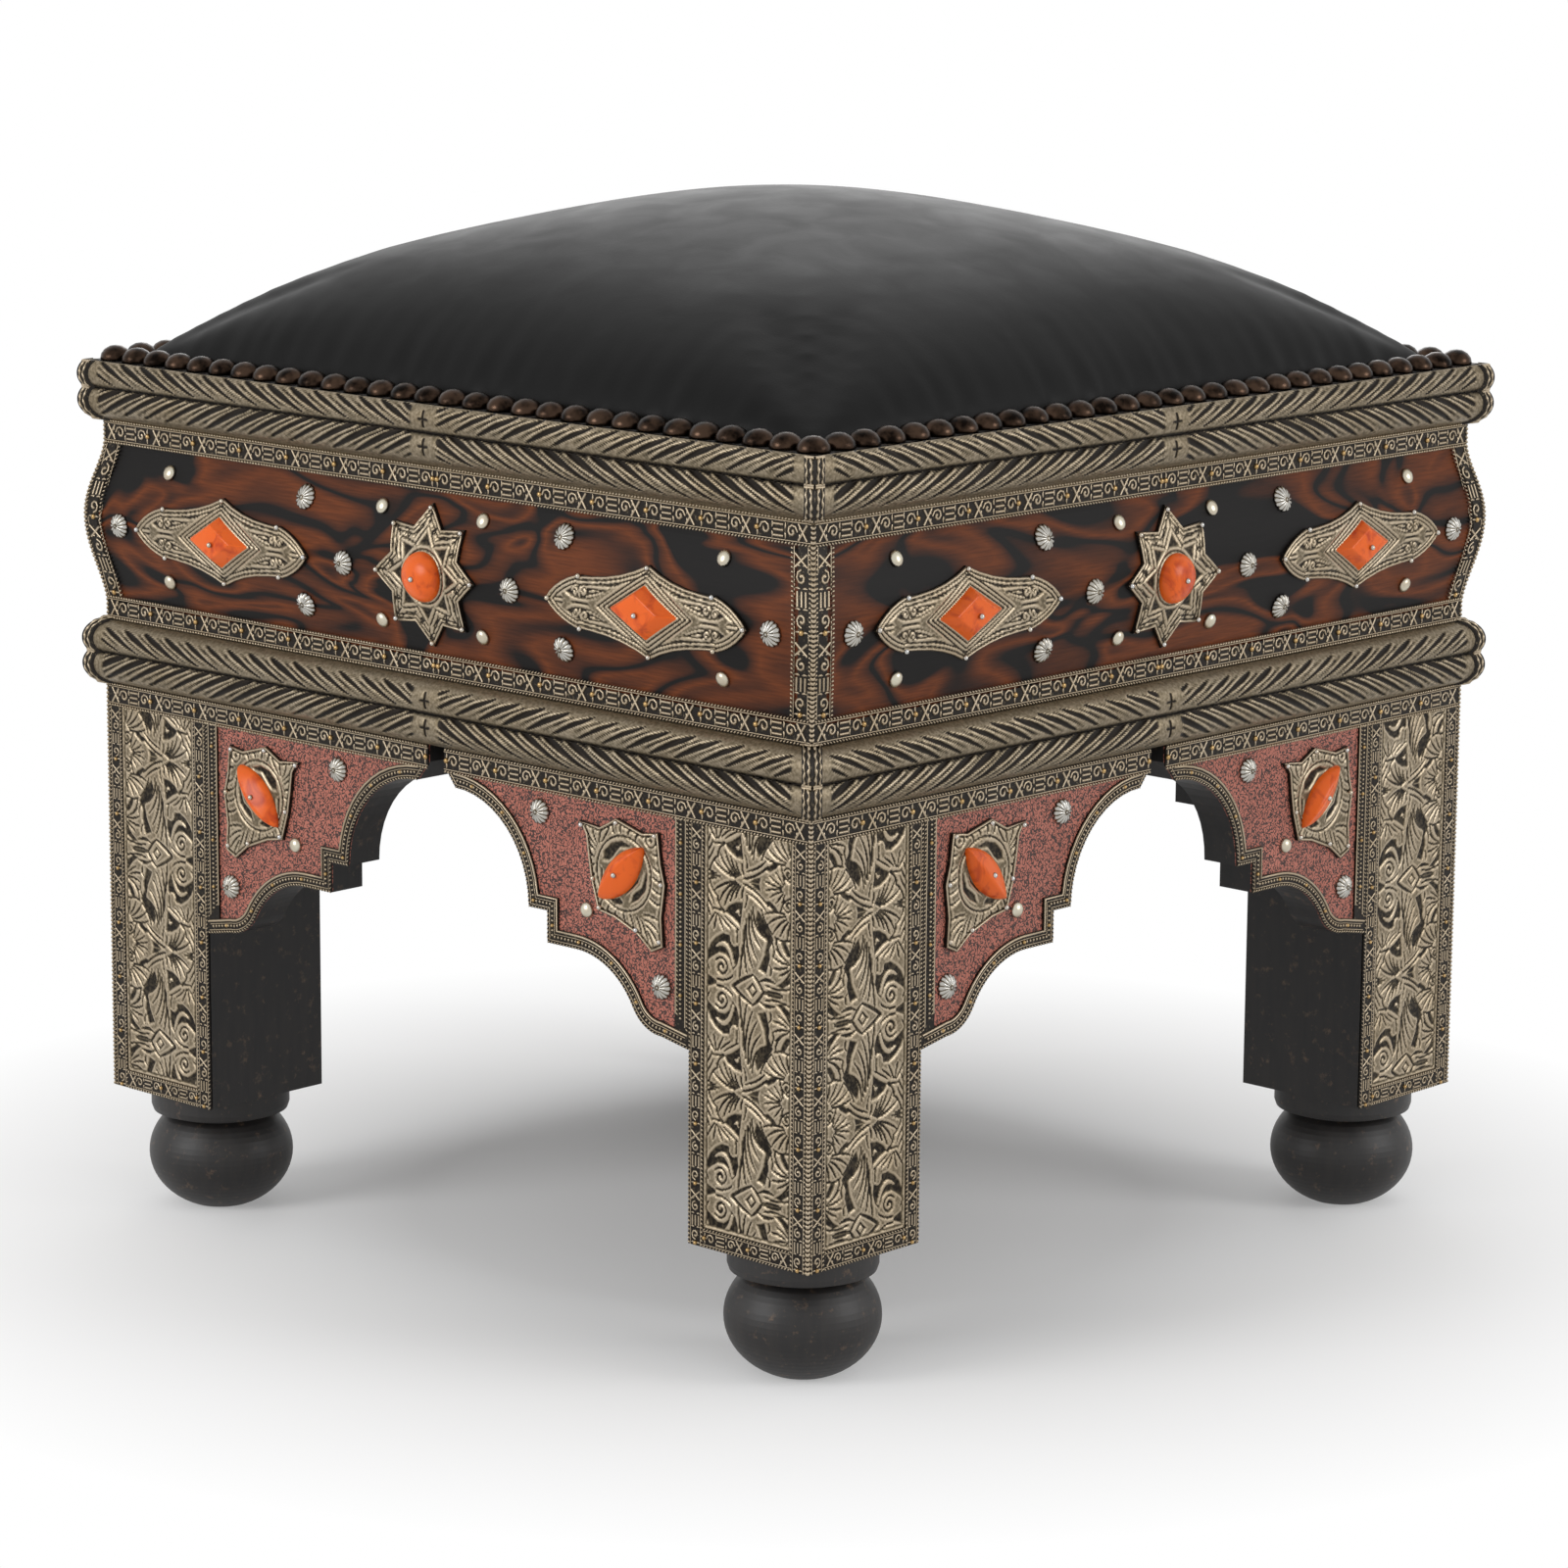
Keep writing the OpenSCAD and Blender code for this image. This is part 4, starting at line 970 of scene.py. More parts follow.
def strip_tile(s, width, long):
    """One repeat of an embossed strip: rope edges, bead pin, volutes, crossed lines and bars."""
    half, size, share = width / 2, width / 9.6, long / 28
    field = half - 1.9 * size
    eye = field * 0.92
    lines = [
        curl((5.2 * share, 0), eye, math.pi, -1.15, 1.3 * size, 9),
        curl((18.4 * share, 0), eye, 0, 1.15, 1.3 * size, 9),
    ]
    for up in (field, -field):
        lines.append(even([(21.6 * share, -up), (25.8 * share, up)], 1.15 * size))
    for place in (1.2 * share, 8.6 * share, 15.0 * share, 22.0 * share):
        for up in (-1, 1):
            lines.append(lobe(
                (place, up * field), (place + 0.7, up * (field - 0.9)), (place, up * 0.9), size
            ))
    for up in (-0.7 * field, 0, 0.7 * field):
        lines.append(even([(9.4 * share, up), (14.2 * share, up)], 1.1 * size))
    edge = rope(long, s, size)
    inner = ridges([even([(0, 0), (long, 0)], 0.5 * size)], 0.9)
    parts = [(ridges(lines, 0.85 / size), SAME)]
    for side in (-1, 1):
        parts.append((edge, at(0, side * (half - 0.6 * size))))
        parts.append((inner, at(0, side * (half - 1.45 * size))))
    parts.append((painted(ball(2.5 * size, 1.3), 1), at(1.2 * share, 0)))
    return gathered(parts)


def strip(s, width, span):
    """A run of strip from 0 to span with a whole number of repeats."""
    count = max(1, round(span / (s.tile / MM * width / 10)))
    return in_a_row(strip_tile(s, width, span / count), span / count, count)


class FOOTSTOOL_OT_strips(bpy.types.Operator):
    """Emboss the strips round the friezes, under the lower moulding and round the legs"""

    bl_idname = "footstool.strips"
    bl_label = "Embossed strips"

    def execute(self, context):
        s = settings("metal")
        self.frieze(s)
        self.skirt(s)
        self.legs(s)
        return {"FINISHED"}

    def frieze(self, s):
        """Strips along the foot and the head of each frieze and up its mitres, and wires over the mitres."""
        half, wide, tall = HALF_W / MM, s.frieze_w / MM, APRON_H / MM
        out = s.frieze_sheet / MM
        top = tall + s.lap / MM
        band = strip(s, wide, half)
        post = strip(s, wide, top - 2 * wide)
        bands = gathered([(band, at(0, wide / 2, out)), (band, at(0, top - wide / 2, out))])
        dress("frieze_strip_relief", doubled(bands), BEADED, bend=on_frieze)
        sheets = gathered([
            (ground(0, half, 0, wide, out), SAME), (ground(0, half, top - wide, top, out), SAME),
        ])
        dress("frieze_strip_ground", doubled(sheets), DULL, bend=on_frieze)
        posts = gathered([(post, at(half - wide / 2, wide, out, QUARTER))])
        dress("frieze_corner_relief", doubled(posts), BEADED, bend=on_frieze_corner)
        sheet = ground(half - wide, half, wide, top - wide, out)
        dress("frieze_corner_ground", doubled(sheet), DULL, bend=on_frieze_corner)
        wire = gathered([(beaded_wire(tall), at(half + 0.5, 0, 0.5, QUARTER))])
        dress("frieze_wires", doubled(wire), METAL, bend=on_frieze_corner, full_height=1.5 * MM)

    def skirt(self, s):
        """The strip below the lower moulding, which leaves a gap at the middle of its side."""
        half, wide, out = HALF_W / MM, s.skirt_w / MM, STRIP_OUT / MM
        gap, top = s.skirt_gap / MM, LOWER_Z / MM
        low = top - wide
        run = gathered([(strip(s, wide, half - gap), at(gap, low + wide / 2, out))])
        dress("skirt_strip_relief", doubled(run), BEADED)
        dress("skirt_strip_ground", doubled(ground(gap, half, low, top, out + 0.05)), DULL)

    def legs(self, s):
        """Strips beside and below the leg plates, and wires down the corners of the legs."""
        half, leg_in, foot = HALF_W / MM, LEG_IN / MM, FOOT_H / MM
        wide, out = s.strip_w / MM, STRIP_OUT / MM
        upright = strip(s, wide, (LOWER_Z - s.skirt_w) / MM - foot)
        sill = strip(s, wide, half - leg_in - 2 * wide)
        strips = gathered([
            (upright, at(leg_in + wide / 2, foot, out, QUARTER)),
            (upright, at(half - wide / 2, foot, out, QUARTER)),
            (sill, at(leg_in + wide, foot + wide / 2, out)),
        ])
        dress("leg_strip_relief", doubled(strips), BEADED)
        wire = beaded_wire(LOWER_Z / MM - foot)
        wires = gathered([(wire, at(half + out - 0.5, foot, out - 0.5, QUARTER))])
        dress("leg_wires", doubled(wires), METAL, full_height=2.2 * MM)


def foliage_pockets():
    """Sunk pockets in half a repeat of the leg plates, as loops: along from the arch side to the corner side,
    and up from the diamond to the big palmette."""
    return [
        [(12.8, 33.9), (15.5, 37.2), (20.0, 39.6), (25.4, 40.2), (24.4, 34.5), (23.6, 28.2), (18.0, 31.6)],
        [(1.2, 12.6), (3.8, 18.0), (7.6, 21.6), (12.0, 23.8), (16.4, 23.6), (18.3, 20.4), (22.6, 19.2),
         (23.1, 14.5), (21.4, 9.8), (18.6, 6.8), (16.6, 11.5), (13.5, 13.7), (9.4, 13.9), (5.4, 11.6),
         (2.4, 9.4)],
        [(32.8, 33.4), (34.6, 38.2), (37.0, 36.0), (41.6, 30.6), (45.4, 25.6), (42.4, 20.8), (42.9, 16.4),
         (40.4, 8.6), (35.0, 10.2), (38.9, 17.6), (40.4, 24.0), (35.2, 27.4)],
        [(0, 4.0), (3.0, 2.8), (8.2, 0.9), (8.2, -1.0), (0, -1.0)],
        [(46.2, 4.2), (52.0, 8.0), (57.8, 11.4), (57.8, 7.6), (50.4, 3.2)],
        [(49.0, 26.4), (52.0, 26.6), (55.4, 22.0), (56.4, 18.4), (53.4, 18.8), (50.8, 22.0)],
        [(28.2, 50.2), (31.8, 47.6), (36.8, 46.0), (35.6, 50.2)],
        [(38.2, 42.7), (42.4, 43.4), (46.4, 41.2), (48.8, 38.2), (43.4, 39.2)],
    ]


def foliage_arms():
    """Arms that stand up inside the pockets of half a repeat."""
    return [
        shaped((7.6, 16.8), (15.4, 23.0), (19.0, 9.6), 2.6, (0.3, 0.7, 1, 1, 0.9, 0.8, 0.7)),
        shaped((20.6, 34.6), (21.8, 36.4), (22.6, 33.6), 1.6, (0.5, 1, 0.5)),
        curl((19.4, 21.6), 2.9, -0.6, -1.0, 1.6, 9),
    ]


def foliage_cuts():
    """Lines cut between the lobes and round the leaves of half a repeat."""
    palmette = [
        ((20.0, 49.0), (12.5, 47.6), (6.6, 43.4)),
        ((20.6, 48.6), (12.6, 45.6), (9.8, 38.6)),
        ((21.4, 48.2), (15.6, 44.8), (13.2, 37.0)),
        ((22.4, 47.8), (18.2, 44.8), (16.8, 39.4)),
        ((23.6, 47.5), (20.8, 45.0), (20.4, 41.6)),
        ((25.4, 47.0), (24.2, 45.0), (24.4, 42.2)),
    ]
    leaf = [
        ((31.8, 38.6), (30.8, 30.0), (38.4, 25.6)),
        ((30.6, 37.0), (29.2, 27.0), (36.8, 20.4)),
        ((29.0, 35.4), (27.2, 24.0), (34.2, 14.6)),
        ((27.5, 33.0), (25.6, 21.0), (31.4, 10.2)),
        ((26.0, 29.0), (24.8, 17.0), (27.8, 7.2)),
        ((24.8, 20.0), (23.8, 12.0), (23.0, 4.6)),
    ]
    corner_fan = [
        ((52.2, 38.6), (45.0, 39.4), (39.4, 36.8)),
        ((52.8, 37.4), (46.0, 36.8), (41.4, 32.4)),
        ((53.4, 36.2), (48.4, 34.4), (44.8, 28.8)),
        ((54.4, 35.2), (51.0, 32.2), (49.2, 27.8)),
        ((55.6, 34.6), (54.2, 31.4), (54.0, 27.6)),
    ]
    low_fan = [
        ((54.6, 16.6), (50.2, 17.8), (46.6, 21.4)),
        ((54.0, 15.4), (49.4, 15.4), (45.4, 17.2)),
        ((54.2, 14.2), (50.0, 12.4), (45.2, 12.4)),
        ((55.2, 13.2), (52.4, 10.8), (48.6, 9.4)),
    ]
    edge_leaf = [
        ((7.0, 32.6), (4.4, 30.0), (2.4, 26.2)),
        ((8.0, 32.4), (7.0, 29.0), (6.4, 24.8)),
        ((9.0, 32.0), (10.2, 28.6), (12.4, 25.6)),
        ((10.6, 31.4), (13.4, 28.8), (17.4, 26.6)),
        ((0.6, 40.4), (3.2, 37.4), (5.2, 33.6)),
        ((0.6, 44.6), (3.6, 41.4), (5.8, 37.4)),
        ((0.6, 36.4), (2.2, 34.0), (3.6, 30.8)),
        ((0.6, 32.4), (1.4, 30.0), (1.8, 28.0)),
    ]
    fern = [
        ((50.6, 48.8), (46.0, 47.6), (42.2, 44.8)),
        ((51.0, 48.0), (48.4, 45.4), (46.4, 42.6)),
        ((50.0, 49.6), (45.0, 49.4), (40.2, 48.0)),
        ((51.8, 47.4), (51.2, 45.8), (50.4, 43.6)),
    ]
    cuts = []
    for group, width in (
        (palmette, 1.75), (leaf, 1.75), (corner_fan, 1.7), (low_fan, 1.6), (edge_leaf, 1.5), (fern, 1.4),
    ):
        cuts += [groove(root, bend, tip, width) for root, bend, tip in group]
    cuts += [
        shaped((25.4, 48.6), (33.0, 47.6), (41.0, 40.9), 1.7, (0.6, 1, 1, 1, 1, 0.8)),
        shaped((27.4, 45.0), (34.6, 43.4), (39.6, 38.6), 1.6, (0.5, 0.9, 1, 1, 0.7)),
        bent((3.0, 47.6), (4.6, 42.6), (8.6, 40.4), 1.4),
        bent((8.6, 40.4), (8.2, 36.6), (12.8, 34.2), 1.5),
        bent((12.8, 33.6), (9.6, 34.8), (5.6, 34.6), 1.3),
        bent((37.0, 38.4), (38.4, 33.2), (44.0, 28.2), 1.3),
        bent((46.0, 26.8), (51.0, 24.8), (57.8, 27.6), 1.5),
        bent((46.4, 25.6), (46.8, 22.0), (50.2, 18.6), 1.5),
        shaped((19.2, 0.3), (23.8, 3.8), (31.4, 7.0), 2.3, (1, 1, 1, 0.9, 0.6)),
        shaped((32.6, 6.6), (36.0, 3.8), (38.4, 0.2), 2.0, (0.8, 1, 1, 0.9)),
        even([(28.2, -0.4), (31.3, 2.9), (34.4, -0.4)], 1.4),
        shaped((36.4, 5.0), (41.0, 7.2), (46.0, 5.4), 2.0, (0.5, 1, 1, 0.5)),
        shaped((39.6, 0.4), (46.0, 1.4), (51.0, 0.4), 2.2, (0.5, 1, 1, 0.5)),
        bent((40.4, 3.6), (46.8, 1.6), (57.8, 4.6), 1.4),
        groove((56.6, 13.0), (54.6, 9.6), (50.6, 6.4), 1.3),
        groove((27.6, 44.0), (27.8, 41.0), (26.2, 37.4), 1.2),
        groove((43.8, 24.2), (46.0, 21.0), (45.0, 17.8), 1.3),
        groove((42.4, 13.6), (44.4, 11.2), (43.0, 8.2), 1.3),
        groove((20.6, 27.4), (22.2, 24.2), (21.4, 20.8), 1.2),
        groove((13.4, 31.6), (17.0, 29.2), (22.6, 26.6), 1.3),
        groove((3.4, 5.6), (1.6, 7.4), (0.4, 11.0), 1.3),
        curl((11.2, 7.6), 4.7, 2.4, -1.35, 1.9, 16),
        bent((8.4, 1.4), (14.4, 1.2), (18.4, 4.4), 1.4),
        curl((54.2, 42.4), 3.0, 3.6, 1.2, 1.6, 12),
        bent((49.4, 39.4), (50.2, 45.4), (57.8, 46.8), 1.4),
        shaped((1.0, 50.2), (5.0, 49.9), (10.6, 50.2), 2.4, (1, 0.8, 1, 0.6, 0.3)),
        shaped((1.4, 47.2), (4.4, 48.8), (8.0, 49.0), 1.5, (1, 1, 0.5)),
        bent((57.8, 15.4), (55.8, 16.2), (54.6, 15.4), 1.3),
    ]
    return cuts


def strokes_at(a, b, strokes):
    """How deep strokes reach at places on the drawing, from 0 to 1."""
    deep = np.zeros(np.broadcast(a, b).shape)
    for points, radii in strokes:
        for p, q, r, s in zip(points, points[1:], radii, radii[1:]):
            run = np.subtract(q, p)
            share = np.clip(((a - p[0]) * run[0] + (b - p[1]) * run[1]) / (run @ run), 0, 1)
            far = np.hypot(a - p[0] - share * run[0], b - p[1] - share * run[1])
            deep = np.maximum(deep, 1.9 * (1 - (far / (r + share * (s - r))) ** 2))
    return np.minimum(deep, 1)


def pocket_at(a, b, loop, slope):
    """How deep a pocket with sloping sides is at places on the drawing, from 0 to 1."""
    inside = np.zeros(np.broadcast(a, b).shape, bool)
    near = np.full(inside.shape, np.inf)
    for p, q in zip(loop, loop[1:] + loop[:1]):
        run = np.subtract(q, p)
        if run[1]:
            crossed = ((b < p[1]) != (b < q[1])) & (a < p[0] + (b - p[1]) * run[0] / run[1])
            inside ^= crossed
        share = np.clip(((a - p[0]) * run[0] + (b - p[1]) * run[1]) / (run @ run), 0, 1)
        near = np.minimum(near, np.hypot(a - p[0] - share * run[0], b - p[1] - share * run[1]))
    return np.where(inside, np.clip(0.3 + near / slope, 0, 1), 0)


def depth_at(a, b, pockets, arms, cuts):
    """Depth of an engraving at places on the drawing, from 0 to 1: pockets, arms left standing, and cuts."""
    deep = np.max([pocket_at(a, b, loop, 0.9) for loop in pockets], axis=0)
    return np.maximum(deep * (1 - strokes_at(a, b, arms)), strokes_at(a, b, cuts))


def rubbed_tone(depth, plain):
    """How rubbed the metal is at each place: flats have the plain tone, and edges of cuts are brightest."""
    near = sum(np.roll(depth, step, axis) for axis in (0, 1) for step in (-2, 2)) / 4
    return (1 - depth) * np.minimum(1, plain + (1 - plain) * 1.6 * near)


def engraved_sheet(u, v, depth, foot, s, plain, kept=None):
    """A closed sheet from the depths of its engraving at places along and up, over a foot height. Only the
    cells whose corners are all kept are made."""
    columns, rows = depth.shape
    tone = rubbed_tone(depth, plain)
    bm = bmesh.new()
    bmesh.ops.create_grid(bm, x_segments=columns - 1, y_segments=rows - 1, size=1)
    relief = bm.verts.layers.float.new("relief")
    outside = []
    for vertex in bm.verts:
        i = round((vertex.co.x + 1) / 2 * (columns - 1))
        j = round((vertex.co.y + 1) / 2 * (rows - 1))
        vertex[relief] = tone[i, j]
        vertex.co = (u[i], v[j], foot + s.engraving / MM * (1 - depth[i, j]))
        if kept is not None and not kept[i, j]:
            outside.append(vertex)
    bmesh.ops.delete(bm, geom=outside, context="VERTS")
    for vertex in drawn_down(bm, foot - 0.1):
        vertex[relief] = 0
    return shut(bm)


def plaque_edge(node, u, v, seed):
    """Edge of a plaque as seen from its middle. Where a pin's hole breaks it, the pin's middle stands for the
    hole's arc."""
    pins = [(p - u, q - v) for p, q, out in islands("ball_pins")]
    loop = []
    for point in ((p - u, q - v) for p, q in outline(node, u + seed[0], v + seed[1])):
        pin = next((p for p in pins if math.dist(p, point) < 1.1), None)
        if not pin or not loop or loop[-1] != pin:
            loop.append(pin or point)
    return loop if loop[0] != loop[-1] else loop[:-1]


def engraved_plaque(loop, foot, s, rims, pockets, arms, cuts):
    """A plaque with the given edge, engraved, with cut lines at the distances of the rims from the edge and
    a raised wire along it."""
    fine = s.engraving_grain / MM * 1.05
    (left, right), (low, high) = ((min(p[i] for p in loop), max(p[i] for p in loop)) for i in (0, 1))
    u, v = np.arange(left, right, fine), np.arange(low, high, fine)
    a, b = u[:, None], v[None, :]
    lines = cuts + [even(closed(inset(loop, rim)), 1.15) for rim in rims]
    kept = pocket_at(a, b, inset(loop, 0.5), 1) > 0
    lift = foot + 0.12
    sheet = engraved_sheet(u, v, depth_at(a, b, pockets, arms, lines), lift, s, PLAQUE_TONE, kept)
    wire = ridges([even(closed(inset(loop, 0.7)), 1.4)], 0.9)
    toned(wire, [WIRE_TONE] * len(wire.vertices))
    return gathered([(sheet, SAME), (wire, Matrix.Translation((0, 0, lift + 0.3)))])


class FOOTSTOOL_OT_leg_plates(bpy.types.Operator):
    """Engrave the foliage of the leg plates"""

    bl_idname = "footstool.leg_plates"
    bl_label = "Leg plates"

    def execute(self, context):
        s = settings("metal")
        low = FOOT_H / MM + s.strip_w / MM
        high = LOWER_Z / MM - s.skirt_w / MM
        left = (LEG_IN + s.strip_w) / MM
        right = (HALF_W - s.strip_w) / MM
        fine = s.engraving_grain / MM
        columns, rows = round((right - left) / fine), round(s.foliage / MM / 2 / fine)
        a, b = np.linspace(0, FOLIAGE_W, columns)[:, None], np.linspace(0, FOLIAGE_H, rows + 1)[None, :]
        half = depth_at(a, b, foliage_pockets(), foliage_arms(), foliage_cuts())
        u = np.linspace(left, right, columns)
        v = np.linspace(low, high, round((high - low) / fine) + 1)
        edge = np.minimum(np.minimum(u - left, right - u)[:, None], (v - low)[None, :])
        for k, place in enumerate(SIDES):
            start = s.plate_shift_ends if place in ("front", "back") else s.plate_shift_flanks
            turn = (np.arange(len(v)) + round(start / MM / fine)) % (2 * rows)
            depth = half[:, np.minimum(turn, 2 * rows - turn)]
            framed = np.where(edge < 1.4, 0, np.where(edge < 2.4, 0.9, depth))
            sheet = engraved_sheet(u, v, framed, PLATE_T / MM, s, PLATE_TONE)
            dress("leg_plates_" + place, doubled(sheet), METAL, replaced=["leg_plates"], sides=[k])
        return {"FINISHED"}


class FOOTSTOOL_OT_arch_strips(bpy.types.Operator):
    """Emboss the strips along the arches and beside the legs"""

    bl_idname = "footstool.arch_strips"
    bl_label = "Arch strips"

    def execute(self, context):
        s = settings("metal")
        pitch = s.rope_pitch / MM
        twist = ball(pitch * 1.2, 0.8, 0.8, math.radians(48), 4, 2)
        dot = ball(1.3, 0.9, 1.7, 0, 6, 3)
        bead = painted(ball(2.3, 1.3), 1)
        low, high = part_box("bracket_edge_strips")
        loop = outline("bracket_edge_strips", LEG_IN / MM / 2, low.z / MM / 2 + high.z / MM / 2)
        first = min(range(len(loop)), key=lambda i: loop[i][0] - loop[i][1])
        loop = loop[first:] + loop[:first]
        toe = 1 + max(range(len(loop)), key=lambda i: loop[i][0] - loop[i][1])
        band = inset(loop, 3.7)[:toe]
        lines = ridges([
            even(inset(loop, 1.7)[:toe], 0.6),
            even(inset(loop, 0.8)[toe:], 1.4),
            even(inset(loop, 2.4)[toe:], 0.5),
        ])
        parts = [(lines, SAME)]
        parts += studded(twist, inset(loop, 0.55)[:toe], pitch)
        parts += studded(dot, band, 2.4)
        parts += studded(bead, band, 23)
        arch = Matrix.Translation((0, 0, rise("bracket_edge_strips")))
        dress("arch_strip_relief", doubled(gathered([(gathered(parts), arch)])), BEADED)
        stile = outline("bracket_stile_strips", LEG_IN / MM - 4, high.z / MM - 30)
        left, right = min(p[0] for p in stile), max(p[0] for p in stile)
        foot, head = min(p[1] for p in stile), max(p[1] for p in stile)
        lines = ridges([
            even([(left + 0.6, foot + 9), (left + 0.6, head)], 1.0),
            even([(right - 2.6, foot + 3), (right - 2.6, head)], 0.8),
        ])
        middle = (left + right) / 2 - 0.8
        parts = [(lines, SAME)]
        parts += studded(twist, [(right - 1.3, foot + 1), (right - 1.3, head)], pitch)
        parts += studded(twist, [(left + 1.7, foot + 8), (left + 1.7, head)], pitch)
        parts += studded(dot, [(middle, foot + 6), (middle, head)], 2.4)
        parts += studded(bead, [(middle, foot + 6), (middle, head)], 26)
        post = Matrix.Translation((0, 0, rise("bracket_stile_strips")))
        dress("stile_strip_relief", doubled(gathered([(gathered(parts), post)])), BEADED)
        return {"FINISHED"}


def mirrored(strokes, up=True):
    """Strokes together with their mirror images across, and up and down unless that is left out."""
    strokes = strokes + [([(-p, q) for p, q in points], radii) for points, radii in strokes]
    if up:
        strokes = strokes + [([(p, -q) for p, q in points], radii) for points, radii in strokes]
    return strokes


def lozenge_engraving(t):
    """Pockets, arms and cuts of a lozenge plaque round its middle: frames round the stone, and in each
    quarter a sunk panel with two volutes."""
    long, tall = t.lozenge_stone_len / MM / 2, t.lozenge_stone_h / MM / 2
    cuts = []
    for out in (0.8, 4.2, 7.6):
        u, v = long + out, tall + 0.75 * out
        cuts.append(even([(u, 0), (0, v), (-u, 0), (0, -v), (u, 0)], 1.2))
    panel = [(21.5, 9.0), (30.0, 9.9), (38.0, 9.4), (44.0, 8.8), (49.6, 6.8), (53.4, 4.6), (49.0, 2.6),
             (43.0, 1.7), (36.4, 2.4), (30.4, 4.4), (25.0, 7.4)]
    volutes = [
        curl((40.4, 6.0), 2.7, 2.4, -1.15, 1.3, 12),
        curl((46.4, 5.0), 2.3, 0.4, 1.1, 1.2, 12),
        bent((24.0, 8.6), (31.0, 8.8), (38.4, 8.6), 1.2),
        bent((27.0, 6.9), (33.0, 4.4), (38.6, 3.5), 1.2),
        bent((42.4, 8.4), (44.2, 6.0), (43.2, 3.0), 1.1),
        bent((31.0, 7.0), (34.0, 6.8), (36.4, 6.2), 1.1),
    ]
    leaf = [(52.6, 0.0), (56.0, 2.3), (60.0, 1.7), (62.6, 0.0), (60.0, -1.7), (56.0, -2.3)]
    pockets = [points for points, radii in mirrored([(panel, [])]) + mirrored([(leaf, [])], up=False)]
    arms = mirrored(volutes) + mirrored([even([(53.4, 0), (61.4, 0)], 1.2)], up=False)
    cuts += mirrored([groove((36.0, 0), (43.0, 0), (50.4, 0), 1.1)], up=False)
    cuts += mirrored([groove((17.0, 11.8), (24.0, 9.6), (30.0, 10.9), 1.0)])
    return pockets, arms, cuts


def star_engraving(t):
    """Pockets, arms and cuts of a star plaque round its middle: a ring, sunk triangles, and volutes in the
    points."""
    stone = t.round_stone_d / MM / 2
    pockets, cuts = [], [even(ring(stone + 0.9), 1.1)]
    for i in range(8):
        turn = Matrix.Rotation(math.tau * i / 8, 2)
        triangle = [(-4.9, stone + 2.6), (4.9, stone + 2.6), (0.4, stone + 9.6)]
        pockets.append([tuple(turn @ Vector(p)) for p in triangle])
        point = [
            groove((-6.6, stone + 3.0), (-4.4, stone + 7.0), (0.0, stone + 12.4), 1.3),
            groove((6.6, stone + 3.0), (4.8, stone + 7.0), (1.0, stone + 12.4), 1.3),
            groove((0.4, stone + 13.4), (1.6, stone + 16.0), (0.2, stone + 19.4), 1.4),
            curl((4.8, stone + 10.2), 2.2, 2.4, -1.2, 1.2, 9),
            groove((-2.6, stone + 12.2), (-5.6, stone + 10.0), (-7.6, stone + 6.4), 1.3),
            groove((-2.4, stone + 16.0), (-1.8, stone + 13.6), (-4.6, stone + 11.8), 1.1),
        ]
        cuts += [([tuple(turn @ Vector(p)) for p in points], radii) for points, radii in point]
    return pockets, [], cuts


